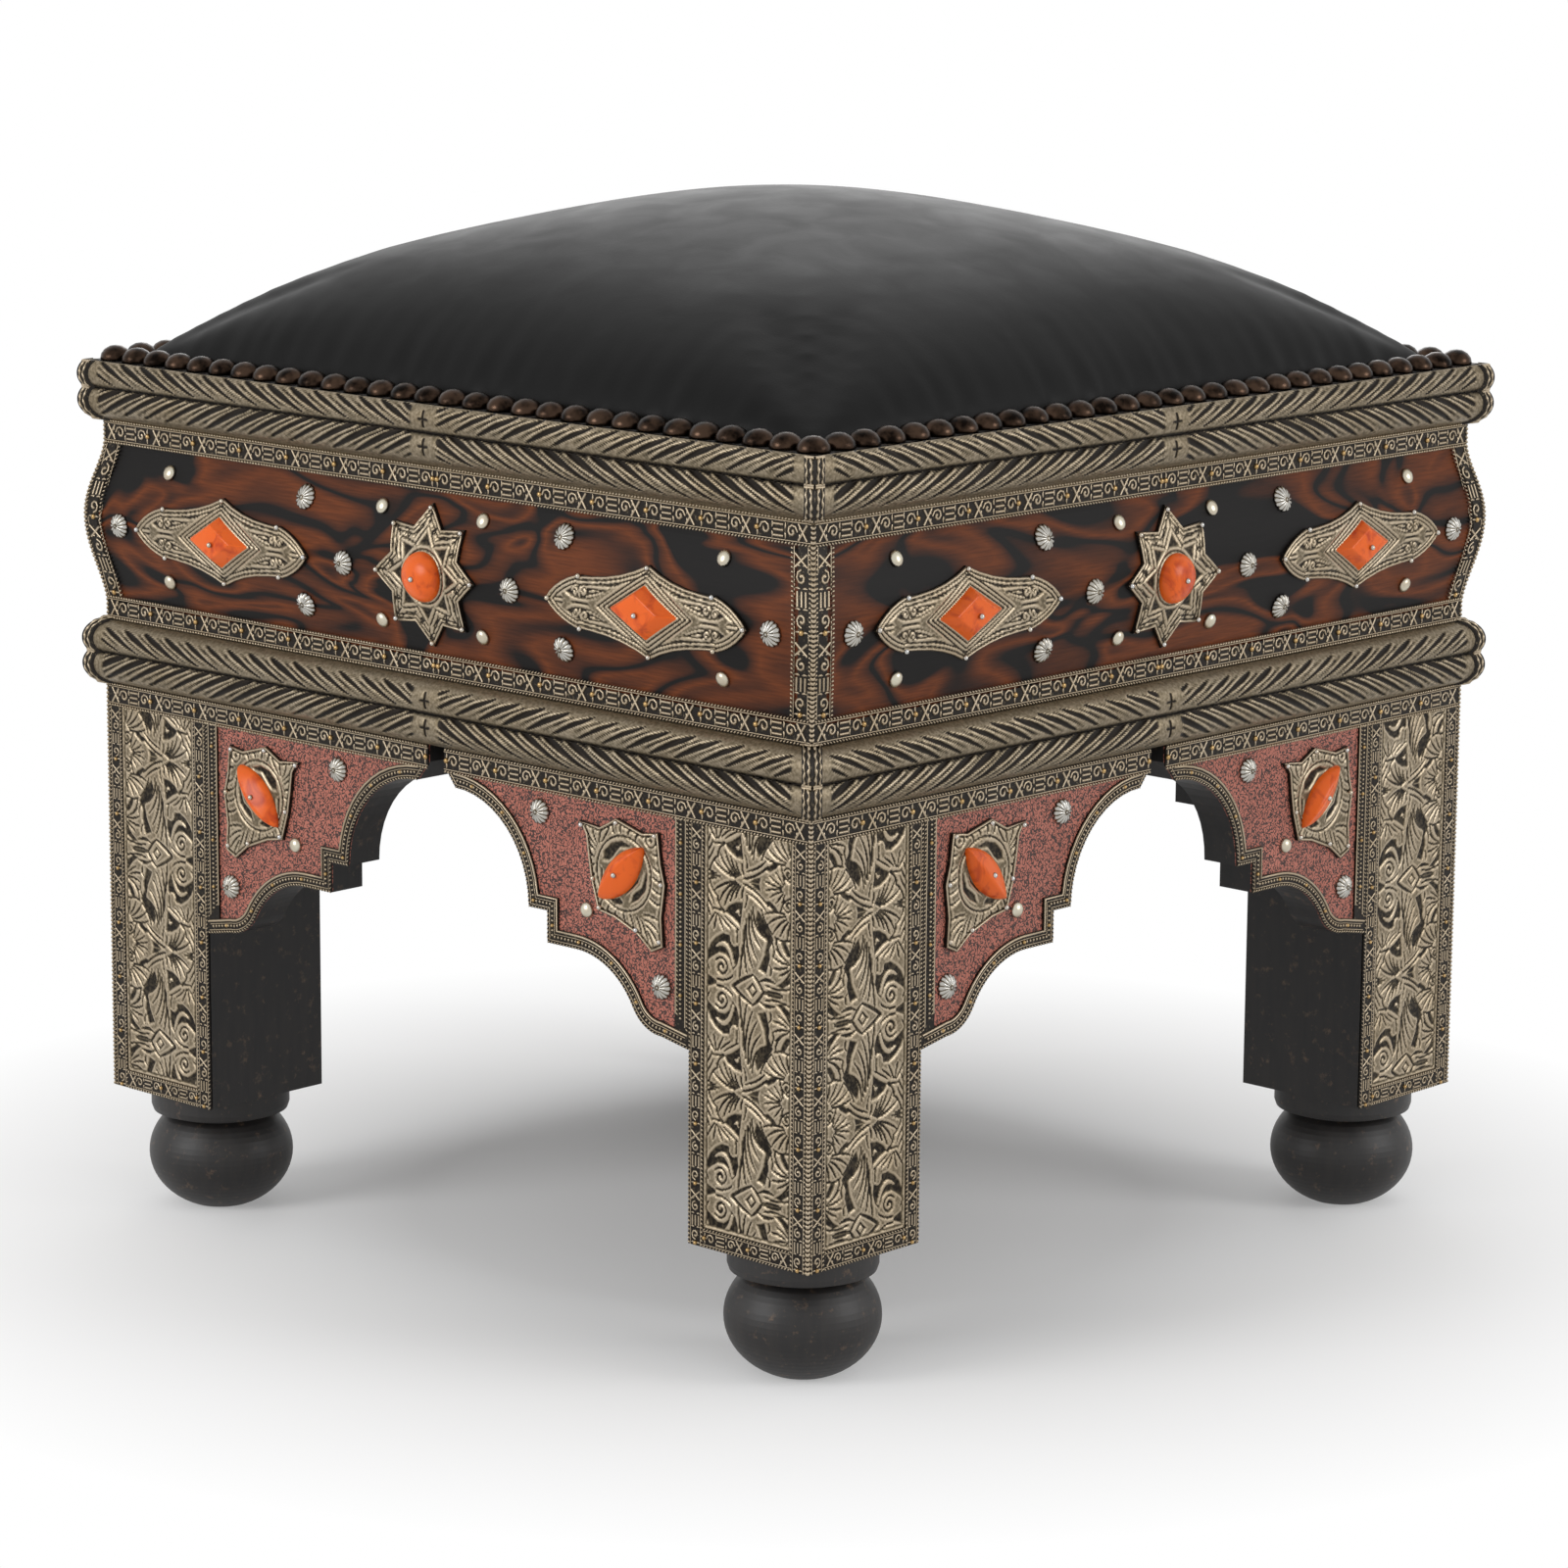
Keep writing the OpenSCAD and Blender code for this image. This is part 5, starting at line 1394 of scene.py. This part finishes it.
def scroll_engraving():
    """Pockets, arms and cuts of a scroll plaque round its stone: a ring pierced by crescents, and leaves."""
    pockets = [
        [(6.0, 14.1), (-0.6, 16.1), (-7.9, 14.3), (-13.0, 9.6), (-13.7, 4.8), (-9.3, 4.7), (-6.4, 7.3),
         (-2.0, 12.4), (3.8, 12.9)],
        [(16.2, 4.9), (16.4, -0.6), (15.5, -6.5), (10.4, -11.7), (4.9, -14.6), (6.7, -9.2), (12.6, -4.9),
         (14.7, 1.0)],
        [(11.8, 0.8), (10.4, -3.2), (5.3, -7.9), (0.9, -11.1), (3.8, -7.5), (8.9, -2.3)],
        [(0.1, -14.0), (-2.0, -12.1), (-7.9, -13.3), (-11.5, -11.8), (-9.5, -14.2), (-6.4, -16.5),
         (0.1, -15.7)],
        [(-13.5, 0.4), (-15.6, 1.4), (-15.2, -8.0), (-13.9, -9.8), (-13.6, -5.0)],
        [(16.6, 18.4), (18.6, 20.6), (20.4, 18.6), (18.8, 17.0)],
    ]
    leaf_lines = [
        ((-14.6, 13.6), (-11.4, 17.0), (-8.6, 23.4)), ((-16.4, 13.0), (-15.8, 17.6), (-14.6, 20.8)),
        ((-17.6, 12.0), (-20.6, 15.2), (-20.6, 19.2)), ((-18.2, 10.6), (-23.0, 13.6), (-25.4, 18.6)),
        ((-18.8, 8.8), (-22.4, 10.2), (-24.2, 13.4)), ((-19.6, 5.6), (-21.4, 5.6), (-22.6, 7.6)),
        ((-19.6, 1.6), (-21.2, 0.6), (-22.2, 2.6)), ((-19.2, -3.4), (-20.4, -3.6), (-21.2, -1.6)),
        ((14.5, -18.4), (19.6, -17.4), (24.2, -19.8)), ((14.8, -20.6), (20.0, -21.4), (23.8, -25.4)),
        ((15.4, -23.2), (19.6, -25.0), (23.4, -30.4)), ((16.4, -26.0), (18.8, -28.4), (20.6, -33.0)),
        ((12.6, -21.2), (14.6, -25.0), (17.0, -30.4)), ((9.6, -20.4), (11.2, -23.4), (12.6, -27.4)),
        ((21.0, 6.0), (23.2, 4.0), (26.0, 3.6)), ((20.6, 1.0), (23.4, -1.0), (26.8, -0.6)),
        ((20.2, -4.4), (22.6, -6.6), (26.2, -6.4)), ((18.6, -9.6), (21.4, -12.0), (25.4, -12.0)),
        ((-13.6, -14.2), (-15.6, -16.8), (-15.8, -19.4)), ((-9.6, -17.4), (-10.8, -19.0), (-10.6, -21.2)),
        ((-4.6, -19.2), (-5.4, -20.4), (-4.8, -22.0)), ((0.4, -19.8), (0.4, -21.6), (2.0, -24.2)),
        ((5.2, -19.6), (5.8, -22.0), (7.6, -26.0)), ((-5.8, 18.8), (-7.6, 21.0), (-6.8, 24.0)),
        ((-1.4, 19.6), (-2.6, 22.0), (-1.0, 24.2)), ((3.4, 19.2), (3.2, 21.4), (5.4, 22.8)),
        ((8.4, 17.6), (8.6, 19.8), (10.6, 21.4)), ((20.4, 12.0), (22.0, 12.6), (24.0, 11.4)),
    ]
    cuts = [
        even([(0.6 + p, q) for p, q in ring(18.4, 48)], 1.2),
        even([(18.6 + p, 18.8 + q) for p, q in ring(3.4, 16)], 1.1),
    ]
    return pockets, [], cuts + [groove(a, b, c) for a, b, c in leaf_lines]


class FOOTSTOOL_OT_plaques(bpy.types.Operator):
    """Chase the lozenge, star and scroll plaques"""

    bl_idname = "footstool.plaques"
    bl_label = "Plaques"

    def execute(self, context):
        t, s = settings("trim"), settings("metal")
        over_frieze = rise("scroll_plaques") - PLATE_T / MM
        middle, foot = PLAQUE_Z / MM, APRON_Z / MM
        x = t.lozenge_x / MM
        loop = plaque_edge("lozenge_plaques", x, middle, (30, 8))
        plaque = engraved_plaque(loop, over_frieze, s, (1.9, 3.9), *lozenge_engraving(t))
        both = doubled(gathered([(plaque, at(x, middle - foot))]))
        dress("lozenge_relief", both, METAL, bend=on_frieze)
        loop = plaque_edge("star_plaques", 0, middle, (20, 10))
        plaque = engraved_plaque(loop, over_frieze, s, (1.9, 3.7), *star_engraving(t))
        dress("star_relief", gathered([(plaque, at(0, middle - foot))]), METAL, bend=on_frieze)
        stones = outline("oval_stones", t.scroll_w / MM * 2.2, LOWER_Z / MM - 44)
        u, v = (sum(p[i] for p in stones) / len(stones) for i in (0, 1))
        loop = plaque_edge("scroll_plaques", u, v, (14, -22))
        plaque = engraved_plaque(loop, rise("scroll_plaques"), s, (1.7,), *scroll_engraving())
        dress("scroll_relief", doubled(gathered([(plaque, at(u, v))])), METAL)
        return {"FINISHED"}


def dome(width, tall, steps, rings=5, skirt=0.5):
    """A domed nail head with a short upright edge, in millimetres."""
    profile = [(0, tall)]
    for i in range(1, rings + 1):
        a = QUARTER * i / rings
        profile.append((width / 2 * math.sin(a), skirt + (tall - skirt) * math.cos(a)))
    return turned(profile + [(width / 2 * 0.96, 0), (0, 0)], steps)


def petal_head(width, tall, petals):
    """A domed nail head fluted into petals round a small button, in millimetres."""
    around, rings = petals * 4, 7
    bm = bmesh.new()
    bmesh.ops.create_circle(bm, cap_ends=True, radius=1, segments=around)
    hub = bmesh.ops.poke(bm, faces=bm.faces[:])["verts"][0]
    bmesh.ops.subdivide_edges(
        bm, edges=[e for e in bm.edges if hub in e.verts], cuts=rings - 1, use_grid_fill=True
    )
    for vert in bm.verts:
        r = min(1.0, vert.co.to_2d().length)
        a = math.atan2(vert.co.y, vert.co.x)
        groove = abs(math.cos(petals * a / 2)) ** 0.6
        depth = (1 - groove) * min(1, max(0, (r - 0.14) / 0.3))
        vert.co.z = tall * (math.sqrt(max(0, 1 - r * r * 0.93)) - 0.36 * depth * (1 - 0.3 * r))
        vert.co.z = max(0.15, vert.co.z)
        if r > 0.9:
            vert.co.xy *= 1 - 0.1 * (1 - groove)
        vert.co.xy *= width / 2
    drawn_down(bm, 0)
    head = shut(bm)
    tones = []
    for vertex in head.vertices:
        r = 2 * vertex.co.to_2d().length / width
        groove = abs(math.cos(petals * math.atan2(vertex.co.y, vertex.co.x) / 2)) ** 0.6
        tones.append(1 if r < 0.12 else 0 if r < 0.24 else groove * (vertex.co.z > 0.2))
    return toned(head, tones)


def islands(node):
    """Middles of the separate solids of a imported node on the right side, along and up, and how far each
    solid stands out, in millimetres."""
    bm = joined(node)
    left = set(bm.verts)
    found = []
    while left:
        waiting = [left.pop()]
        group = [waiting[0]]
        while waiting:
            for edge in waiting.pop().link_edges:
                for vert in edge.verts:
                    if vert in left:
                        left.remove(vert)
                        waiting.append(vert)
                        group.append(vert)
        co = np.array([v.co[:] for v in group])
        middle = (co.min(0) + co.max(0)) / 2
        if middle[0] > HALF_W - 4 * MM and abs(middle[1]) < HALF_W:
            found.append((middle[1] / MM, middle[2] / MM, (co.max(0)[0] - HALF_W) / MM))
    bm.free()
    return found


class FOOTSTOOL_OT_nails(bpy.types.Operator):
    """Turn the heads of the fluted, plain and seat nails"""

    bl_idname = "footstool.nails"
    bl_label = "Nails"

    def execute(self, context):
        t, seat = settings("trim"), settings("seat")
        foot, bright_at = APRON_Z / MM, 3.4 * MM
        for node, head, finish in (
            ("fluted_nails", petal_head(t.fluted_nail_d / MM, 3.8, t.petals), "fluted white metal"),
            ("plain_nails", dome(t.plain_nail_d / MM, 3.1, 20), "satin white metal"),
        ):
            places = islands(node)
            high = [(head, at(u, v - foot)) for u, v, out in places if v > foot]
            low = [(head, at(u, v, PLATE_T / MM)) for u, v, out in places if v < foot]
            dress(node + "_frieze", gathered(high), [finish], on_frieze, (node,), bright_at)
            dress(node + "_brackets", gathered(low), [finish], on_flat, (node,), bright_at)
        size = t.ball_pin_d / MM
        pin = ball(size, size / 2, segments=8, rings=5)
        pins = [(pin, at(u, v, out - size / 2)) for u, v, out in islands("ball_pins")]
        dress("ball_pin_heads", gathered(pins), ["white metal"], replaced=["ball_pins"])
        head = dome(seat.nail_d / MM, seat.nail_h / MM, 16, 4)
        row, foot = seat.nail_row / MM, SEAT_Z / MM + 0.2
        to_metres = Matrix.Diagonal((MM, MM, MM, 1))
        spots = []
        for k in range(4):
            turn = Matrix.Rotation(k * QUARTER, 4, "Z") @ to_metres
            for i in range(seat.nails):
                spots.append((head, turn @ Matrix.Translation((row, row * (2 * i / seat.nails - 1), foot))))
        piece("seat_nail_domes", gathered(spots), ["antique bronze"], ["seat_nails"])
        return {"FINISHED"}


def ridged_stone(long, wide):
    """A pointed oval stone with a soft ridge from tip to tip, a little to one side."""
    tall, ridge, ridge_share = 6.8, 0.3, 0.6
    bm = bmesh.new()
    bmesh.ops.create_grid(bm, x_segments=36, y_segments=18, size=1)
    for vert in bm.verts:
        t, s = vert.co.x, vert.co.y
        swell = max(0, 1 - t * t)
        flank = 1 - abs(s - ridge) / (1 + ridge if s < ridge else 1 - ridge)
        vert.co = (t * long / 2, s * wide / 2 * swell**0.85, 0.6 + tall * flank**ridge_share * swell**0.5)
    drawn_down(bm, 0)
    bmesh.ops.remove_doubles(bm, verts=bm.verts, dist=0.01)
    return shut(bm)


class FOOTSTOOL_OT_stones(bpy.types.Operator):
    """Cut the lozenge stones and polish the round ones"""

    bl_idname = "footstool.stones"
    bl_label = "Stones"

    def execute(self, context):
        t = settings("trim")
        coral = ["polished coral"]
        middle = (PLAQUE_Z - APRON_Z) / MM
        lift = rise("scroll_plaques") - PLATE_T / MM + 0.2
        bm = bmesh.new()
        bmesh.ops.create_cone(bm, cap_ends=True, segments=4, radius1=1, radius2=0.64, depth=1)
        for vert in bm.verts:
            top = vert.co.z > 0
            vert.co.x = vert.co.x * t.lozenge_stone_len / MM / 2 - (1.3 if top else 0)
            vert.co.y = vert.co.y * t.lozenge_stone_h / MM / 2 + (0.9 if top else 0)
            vert.co.z = 6.2 if top else 0
        bmesh.ops.bevel(
            bm, geom=bm.edges[:], offset=0.7, segments=3, profile=0.5, affect="EDGES", material=-1
        )
        cut = poured(bm)
        x = t.lozenge_x / MM
        pair = gathered([(cut, at(x, middle, lift)), (cut, at(-x, middle, lift))])
        dress("lozenge_stones_cut", pair, coral, on_frieze, ["lozenge_stones"])
        boat = ridged_stone(t.oval_stone_len / MM, t.oval_stone_w / MM)
        ovals = [
            (boat, at(u, v, rise("scroll_plaques") + 0.4, math.radians(45 if u > 0 else 135)))
            for u, v, out in islands("oval_stones")
        ]
        dress("oval_stones_cut", gathered(ovals), coral, replaced=["oval_stones"])
        domed = gathered([(dome(t.round_stone_d / MM, 8.2, 48, 10, 1.2), at(0, middle, lift))])
        dress("round_stones_domed", domed, coral, on_frieze, ["round_stones"])
        return {"FINISHED"}


def seat_rise(a, b, s):
    """Height of the crowned seat for a place in shares of its half width, in metres."""
    if abs(a) >= 1 or abs(b) >= 1:
        return 0
    steep = ((1 - a**4) * (1 - b**4)) ** 0.54
    soft = (math.cos(QUARTER * a) * math.cos(QUARTER * b)) ** 2
    return s.shoulder * steep + s.crown * soft


def inflated(obj, s):
    """Blows the leather up as cloth, fixed along its foot, and caps how far each point may travel."""
    last_frame = 20
    group = obj.vertex_groups.new(name="foot")
    group.add([v.index for v in obj.data.vertices if v.co.z < SEAT_Z + 5 * MM], 1, "ADD")
    rest = [v.co.copy() for v in obj.data.vertices]
    cloth = obj.modifiers.new("Cloth", "CLOTH")
    cloth.settings.use_pressure = True
    cloth.settings.uniform_pressure_force = 4
    cloth.settings.effector_weights.gravity = 0
    cloth.settings.vertex_group_mass = "foot"
    cloth.settings.quality = 5
    cloth.point_cache.frame_start = 1
    cloth.point_cache.frame_end = last_frame
    scene = bpy.context.scene
    for moment in range(1, last_frame + 1):
        scene.frame_set(moment)
    blown = obj.evaluated_get(bpy.context.evaluated_depsgraph_get())
    places = [v.co.copy() for v in blown.data.vertices]
    obj.modifiers.remove(cloth)
    scene.frame_set(1)
    for vertex, start, stop in zip(obj.data.vertices, rest, places):
        move = stop - start
        if move.length > s.cap:
            move *= s.cap / move.length
        vertex.co = start + move


class FOOTSTOOL_OT_seat(bpy.types.Operator):
    """Draw the leather over its stuffing, blown up as cloth and pleated beside the nails"""

    bl_idname = "footstool.seat"
    bl_label = "Leather seat"

    def execute(self, context):
        s = settings("seat")
        reach = LEATHER_HALF - s.edge
        cells = 72
        bm = bmesh.new()
        bmesh.ops.create_grid(bm, x_segments=cells, y_segments=cells, size=reach)
        for vert in bm.verts:
            a, b = (math.sin(QUARTER * c / reach) for c in vert.co.xy)
            low = 1 - s.slack / (s.shoulder + s.crown)
            vert.co = (a * reach, b * reach, SEAT_Z + 3 * MM + low * seat_rise(a, b, s))
        skin = bm.faces[:]
        for vert in vertices(bmesh.ops.duplicate(bm, geom=skin)["geom"]):
            vert.co.z = SEAT_Z + 0.3 * MM
        bmesh.ops.bridge_loops(bm, edges=rim_edges(bm))
        bmesh.ops.recalc_face_normals(bm, faces=bm.faces)
        obj = bpy.data.objects.new("seat_cover", poured(bm))
        context.scene.collection.objects.link(obj)
        remesh = obj.modifiers.new("Remesh", "REMESH")
        remesh.mode = "VOXEL"
        remesh.voxel_size = s.voxel
        self.settle(obj)
        inflated(obj, s)
        calmed = obj.modifiers.new("Smooth", "SMOOTH")
        calmed.iterations = 8
        self.settle(obj)
        self.pleat(obj, s, reach)
        smooth = obj.modifiers.new("Subdivision", "SUBSURF")
        smooth.levels = smooth.render_levels = 1
        self.settle(obj)
        self.border(obj)
        obj.data.materials.append(bpy.data.materials["black dyed leather"])
        obj.data.shade_smooth()
        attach(obj, BODY)
        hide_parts("seat_leather", "seat_stuffing")
        return {"FINISHED"}

    def settle(self, obj):
        """Makes what the modifiers show the mesh itself."""
        seen = obj.evaluated_get(bpy.context.evaluated_depsgraph_get())
        made = bpy.data.meshes.new_from_object(seen)
        obj.modifiers.clear()
        obj.data = made

    def pleat(self, obj, s, reach):
        """Presses fine pleats into the foot of the leather, deepest beside the nails, and none at the
        corners."""
        pitch, drift_w, fade_h, calm_w = 2 * reach / s.nails, 22 * MM, 19 * MM, 36 * MM
        for vertex in obj.data.vertices:
            x, y, z = vertex.co
            along, out = (y, x) if abs(x) > abs(y) else (x, y)
            up = z - SEAT_Z
            fade = math.exp(-max(0, up - 4 * MM) / fade_h)
            if up < 2 * MM or fade < 0.02:
                continue
            place = Vector((along / drift_w, 3.7 * (1 if abs(x) > abs(y) else 2), 0.5 + (out > 0)))
            drift = noise.noise(place)
            wave = math.sin(math.tau * (along / pitch + 0.6 * drift)) + 0.6 * math.sin(
                math.tau * (along * 2.3 / pitch + 1.3 * drift)
            )
            calm = min(1, abs(abs(x) - abs(y)) / calm_w) ** 2
            inwards = -s.pleat * fade * calm * (0.55 + 0.5 * wave * (0.6 + 0.8 * abs(drift)))
            vertex.co[0 if abs(x) > abs(y) else 1] += inwards * math.copysign(1, out)

    def border(self, obj):
        """Adds the flat border that the nails hold down."""
        wide, thick = 13 * MM, 2 * MM
        bm = bmesh.new()
        bm.from_mesh(obj.data)
        ring = bmesh.new()
        bmesh.ops.create_grid(ring, x_segments=3, y_segments=3, size=1)
        middle = min(ring.faces, key=lambda f: f.calc_center_median().length)
        ring.faces.remove(middle)
        for vert in ring.verts:
            far = [LEATHER_HALF if abs(c) > 0.9 else LEATHER_HALF - wide for c in vert.co.xy]
            vert.co = (math.copysign(far[0], vert.co.x), math.copysign(far[1], vert.co.y), SEAT_Z + 2.4 * MM)
        bmesh.ops.solidify(ring, geom=ring.faces[:], thickness=thick)
        bmesh.ops.recalc_face_normals(ring, faces=ring.faces)
        strip_mesh = poured(ring)
        bm.from_mesh(strip_mesh)
        bpy.data.meshes.remove(strip_mesh)
        bm.to_mesh(obj.data)
        bm.free()


def seen_rays(tree):
    """Tells rays from the camera, a mirror or glass, for which the studio is white."""
    path = add(tree, "LightPath")
    mirrored_path = add(
        tree, "Math", {0: path.outputs["Is Glossy Ray"], 1: path.outputs["Is Transmission Ray"]},
        operation="MAXIMUM",
    )
    return add(tree, "Math", {0: path.outputs["Is Camera Ray"], 1: mirrored_path}, operation="MAXIMUM")


class FOOTSTOOL_OT_studio(bpy.types.Operator):
    """Set the camera, the pale floor and the soft lights"""

    bl_idname = "footstool.studio"
    bl_label = "Studio"

    def execute(self, context):
        s = settings("studio")
        context.scene.view_settings.view_transform = "Standard"
        self.camera(context.scene, s)
        self.floor(context.scene)
        self.lamps(context.scene, s)
        return {"FINISHED"}

    def camera(self, scene, s):
        """The camera, a little above the seat and turned to the stool's front right corner."""
        camera = bpy.data.cameras.new("camera")
        camera.lens = s.lens
        camera.sensor_width = 36
        camera.clip_start = 0.05
        camera.clip_end = 50
        place = Vector((1.8597, -1.9865, 0.7756))
        forward = Vector((-0.67029, 0.71547, -0.19703)).normalized()
        roll = math.radians(0.407)
        flat_right = forward.cross(Vector((0, 0, 1))).normalized()
        flat_up = flat_right.cross(forward)
        right = math.cos(roll) * flat_right + math.sin(roll) * flat_up
        up = -math.sin(roll) * flat_right + math.cos(roll) * flat_up
        eye = bpy.data.objects.new("camera", camera)
        scene.collection.objects.link(eye)
        turn = Matrix((right, up, -forward)).transposed().to_4x4()
        eye.matrix_world = Matrix.Translation(place) @ turn
        scene.camera = eye

    def floor(self, scene):
        """A pale floor that keeps the stool's shadow and fades to white round it."""
        shade_from, shade_to = 0.2, 0.56
        bm = bmesh.new()
        bmesh.ops.create_circle(bm, cap_ends=True, radius=30, segments=64)
        floor = bpy.data.objects.new("floor", poured(bm))
        scene.collection.objects.link(floor)
        tree, shader, place = new_finish("pale floor")
        pale = rgba(settings("colours").floor)
        plug(tree, shader, {"Base Color": pale, "Roughness": 0.9, "Specular IOR Level": 0.1})
        far = add(tree, "VectorMath", {0: place}, operation="LENGTH").outputs["Value"]
        fade = add(tree, "MapRange", {"Value": far, "From Min": shade_from, "From Max": shade_to})
        share = add(tree, "Math", {0: fade, 1: seen_rays(tree)}, operation="MULTIPLY")
        white = add(tree, "Emission", {"Color": WHITE, "Strength": 1.0})
        mixed = add(tree, "MixShader", {0: share, 1: shader, 2: white})
        plug(tree, tree.nodes["Material Output"], {"Surface": mixed})
        floor.data.materials.append(bpy.data.materials["pale floor"])

    def lamps(self, scene, s):
        """Softboxes over and in front of the stool, and a pale surround that mirrors see as white."""
        target = Vector((0, 0, 0.3))
        for name, place, size, power in (
            ("back", Vector((-1.7, 1.9, 1.35)), 1.6, s.key),
            ("left", Vector((-0.6, -2.4, 1.1)), 1.2, s.front),
            ("right", Vector((2.4, 0.9, 1.1)), 1.2, s.front * 0.8),
        ):
            lamp = bpy.data.lights.new(name, "AREA")
            lamp.shape = "DISK"
            lamp.size = size
            lamp.energy = power
            holder = bpy.data.objects.new(name, lamp)
            scene.collection.objects.link(holder)
            turn = (target - place).to_track_quat("-Z", "Y").to_matrix().to_4x4()
            holder.matrix_world = Matrix.Translation(place) @ turn
        world = bpy.data.worlds.new("studio")
        scene.world = world
        world.use_nodes = True
        tree = world.node_tree
        heading = add(tree, "SeparateXYZ", {0: add(tree, "TexCoord").outputs["Generated"]}).outputs["Z"]
        sky = add(tree, "MapRange", {
            "Value": heading, "From Max": 0.8, "To Min": s.ambient * 0.45, "To Max": s.ambient,
        })
        power = add(tree, "MapRange", {"Value": seen_rays(tree), "To Min": sky, "To Max": 1.0})
        plug(tree, tree.nodes["Background"], {"Color": WHITE, "Strength": power})


class FOOTSTOOL_PT_panel(bpy.types.Panel):
    """The stool's sizes, colours and steps in the sidebar"""

    bl_label = "Footstool"
    bl_idname = "FOOTSTOOL_PT_panel"
    bl_space_type = "VIEW_3D"
    bl_region_type = "UI"
    bl_category = "Footstool"

    def draw(self, context):
        for step in STEPS:
            self.layout.operator(step.bl_idname)
        for group in GROUPS:
            box = self.layout.box()
            for name in GROUPS[group].__annotations__:
                box.prop(settings(group), name)


GROUPS = {
    "metal": MetalSizes,
    "trim": TrimSizes,
    "seat": SeatSizes,
    "colours": Colours,
    "studio": StudioSettings,
}
STEPS = (
    FOOTSTOOL_OT_finishes,
    FOOTSTOOL_OT_mouldings,
    FOOTSTOOL_OT_strips,
    FOOTSTOOL_OT_leg_plates,
    FOOTSTOOL_OT_arch_strips,
    FOOTSTOOL_OT_plaques,
    FOOTSTOOL_OT_nails,
    FOOTSTOOL_OT_stones,
    FOOTSTOOL_OT_seat,
    FOOTSTOOL_OT_studio,
)


def register():
    """Registers the settings, the steps and the panel."""
    for name, group in GROUPS.items():
        bpy.utils.register_class(group)
        setattr(bpy.types.Scene, "footstool_" + name, PointerProperty(type=group))
    for step in STEPS:
        bpy.utils.register_class(step)
    bpy.utils.register_class(FOOTSTOOL_PT_panel)


def unregister():
    """Takes away what register added."""
    bpy.utils.unregister_class(FOOTSTOOL_PT_panel)
    for step in reversed(STEPS):
        bpy.utils.unregister_class(step)
    for name, group in reversed(GROUPS.items()):
        delattr(bpy.types.Scene, "footstool_" + name)
        bpy.utils.unregister_class(group)


def main():
    """Dresses the stool step by step."""
    register()
    for step in STEPS:
        kind, name = step.bl_idname.split(".")
        getattr(getattr(bpy.ops, kind), name)()


if __name__ == "__main__":
    main()
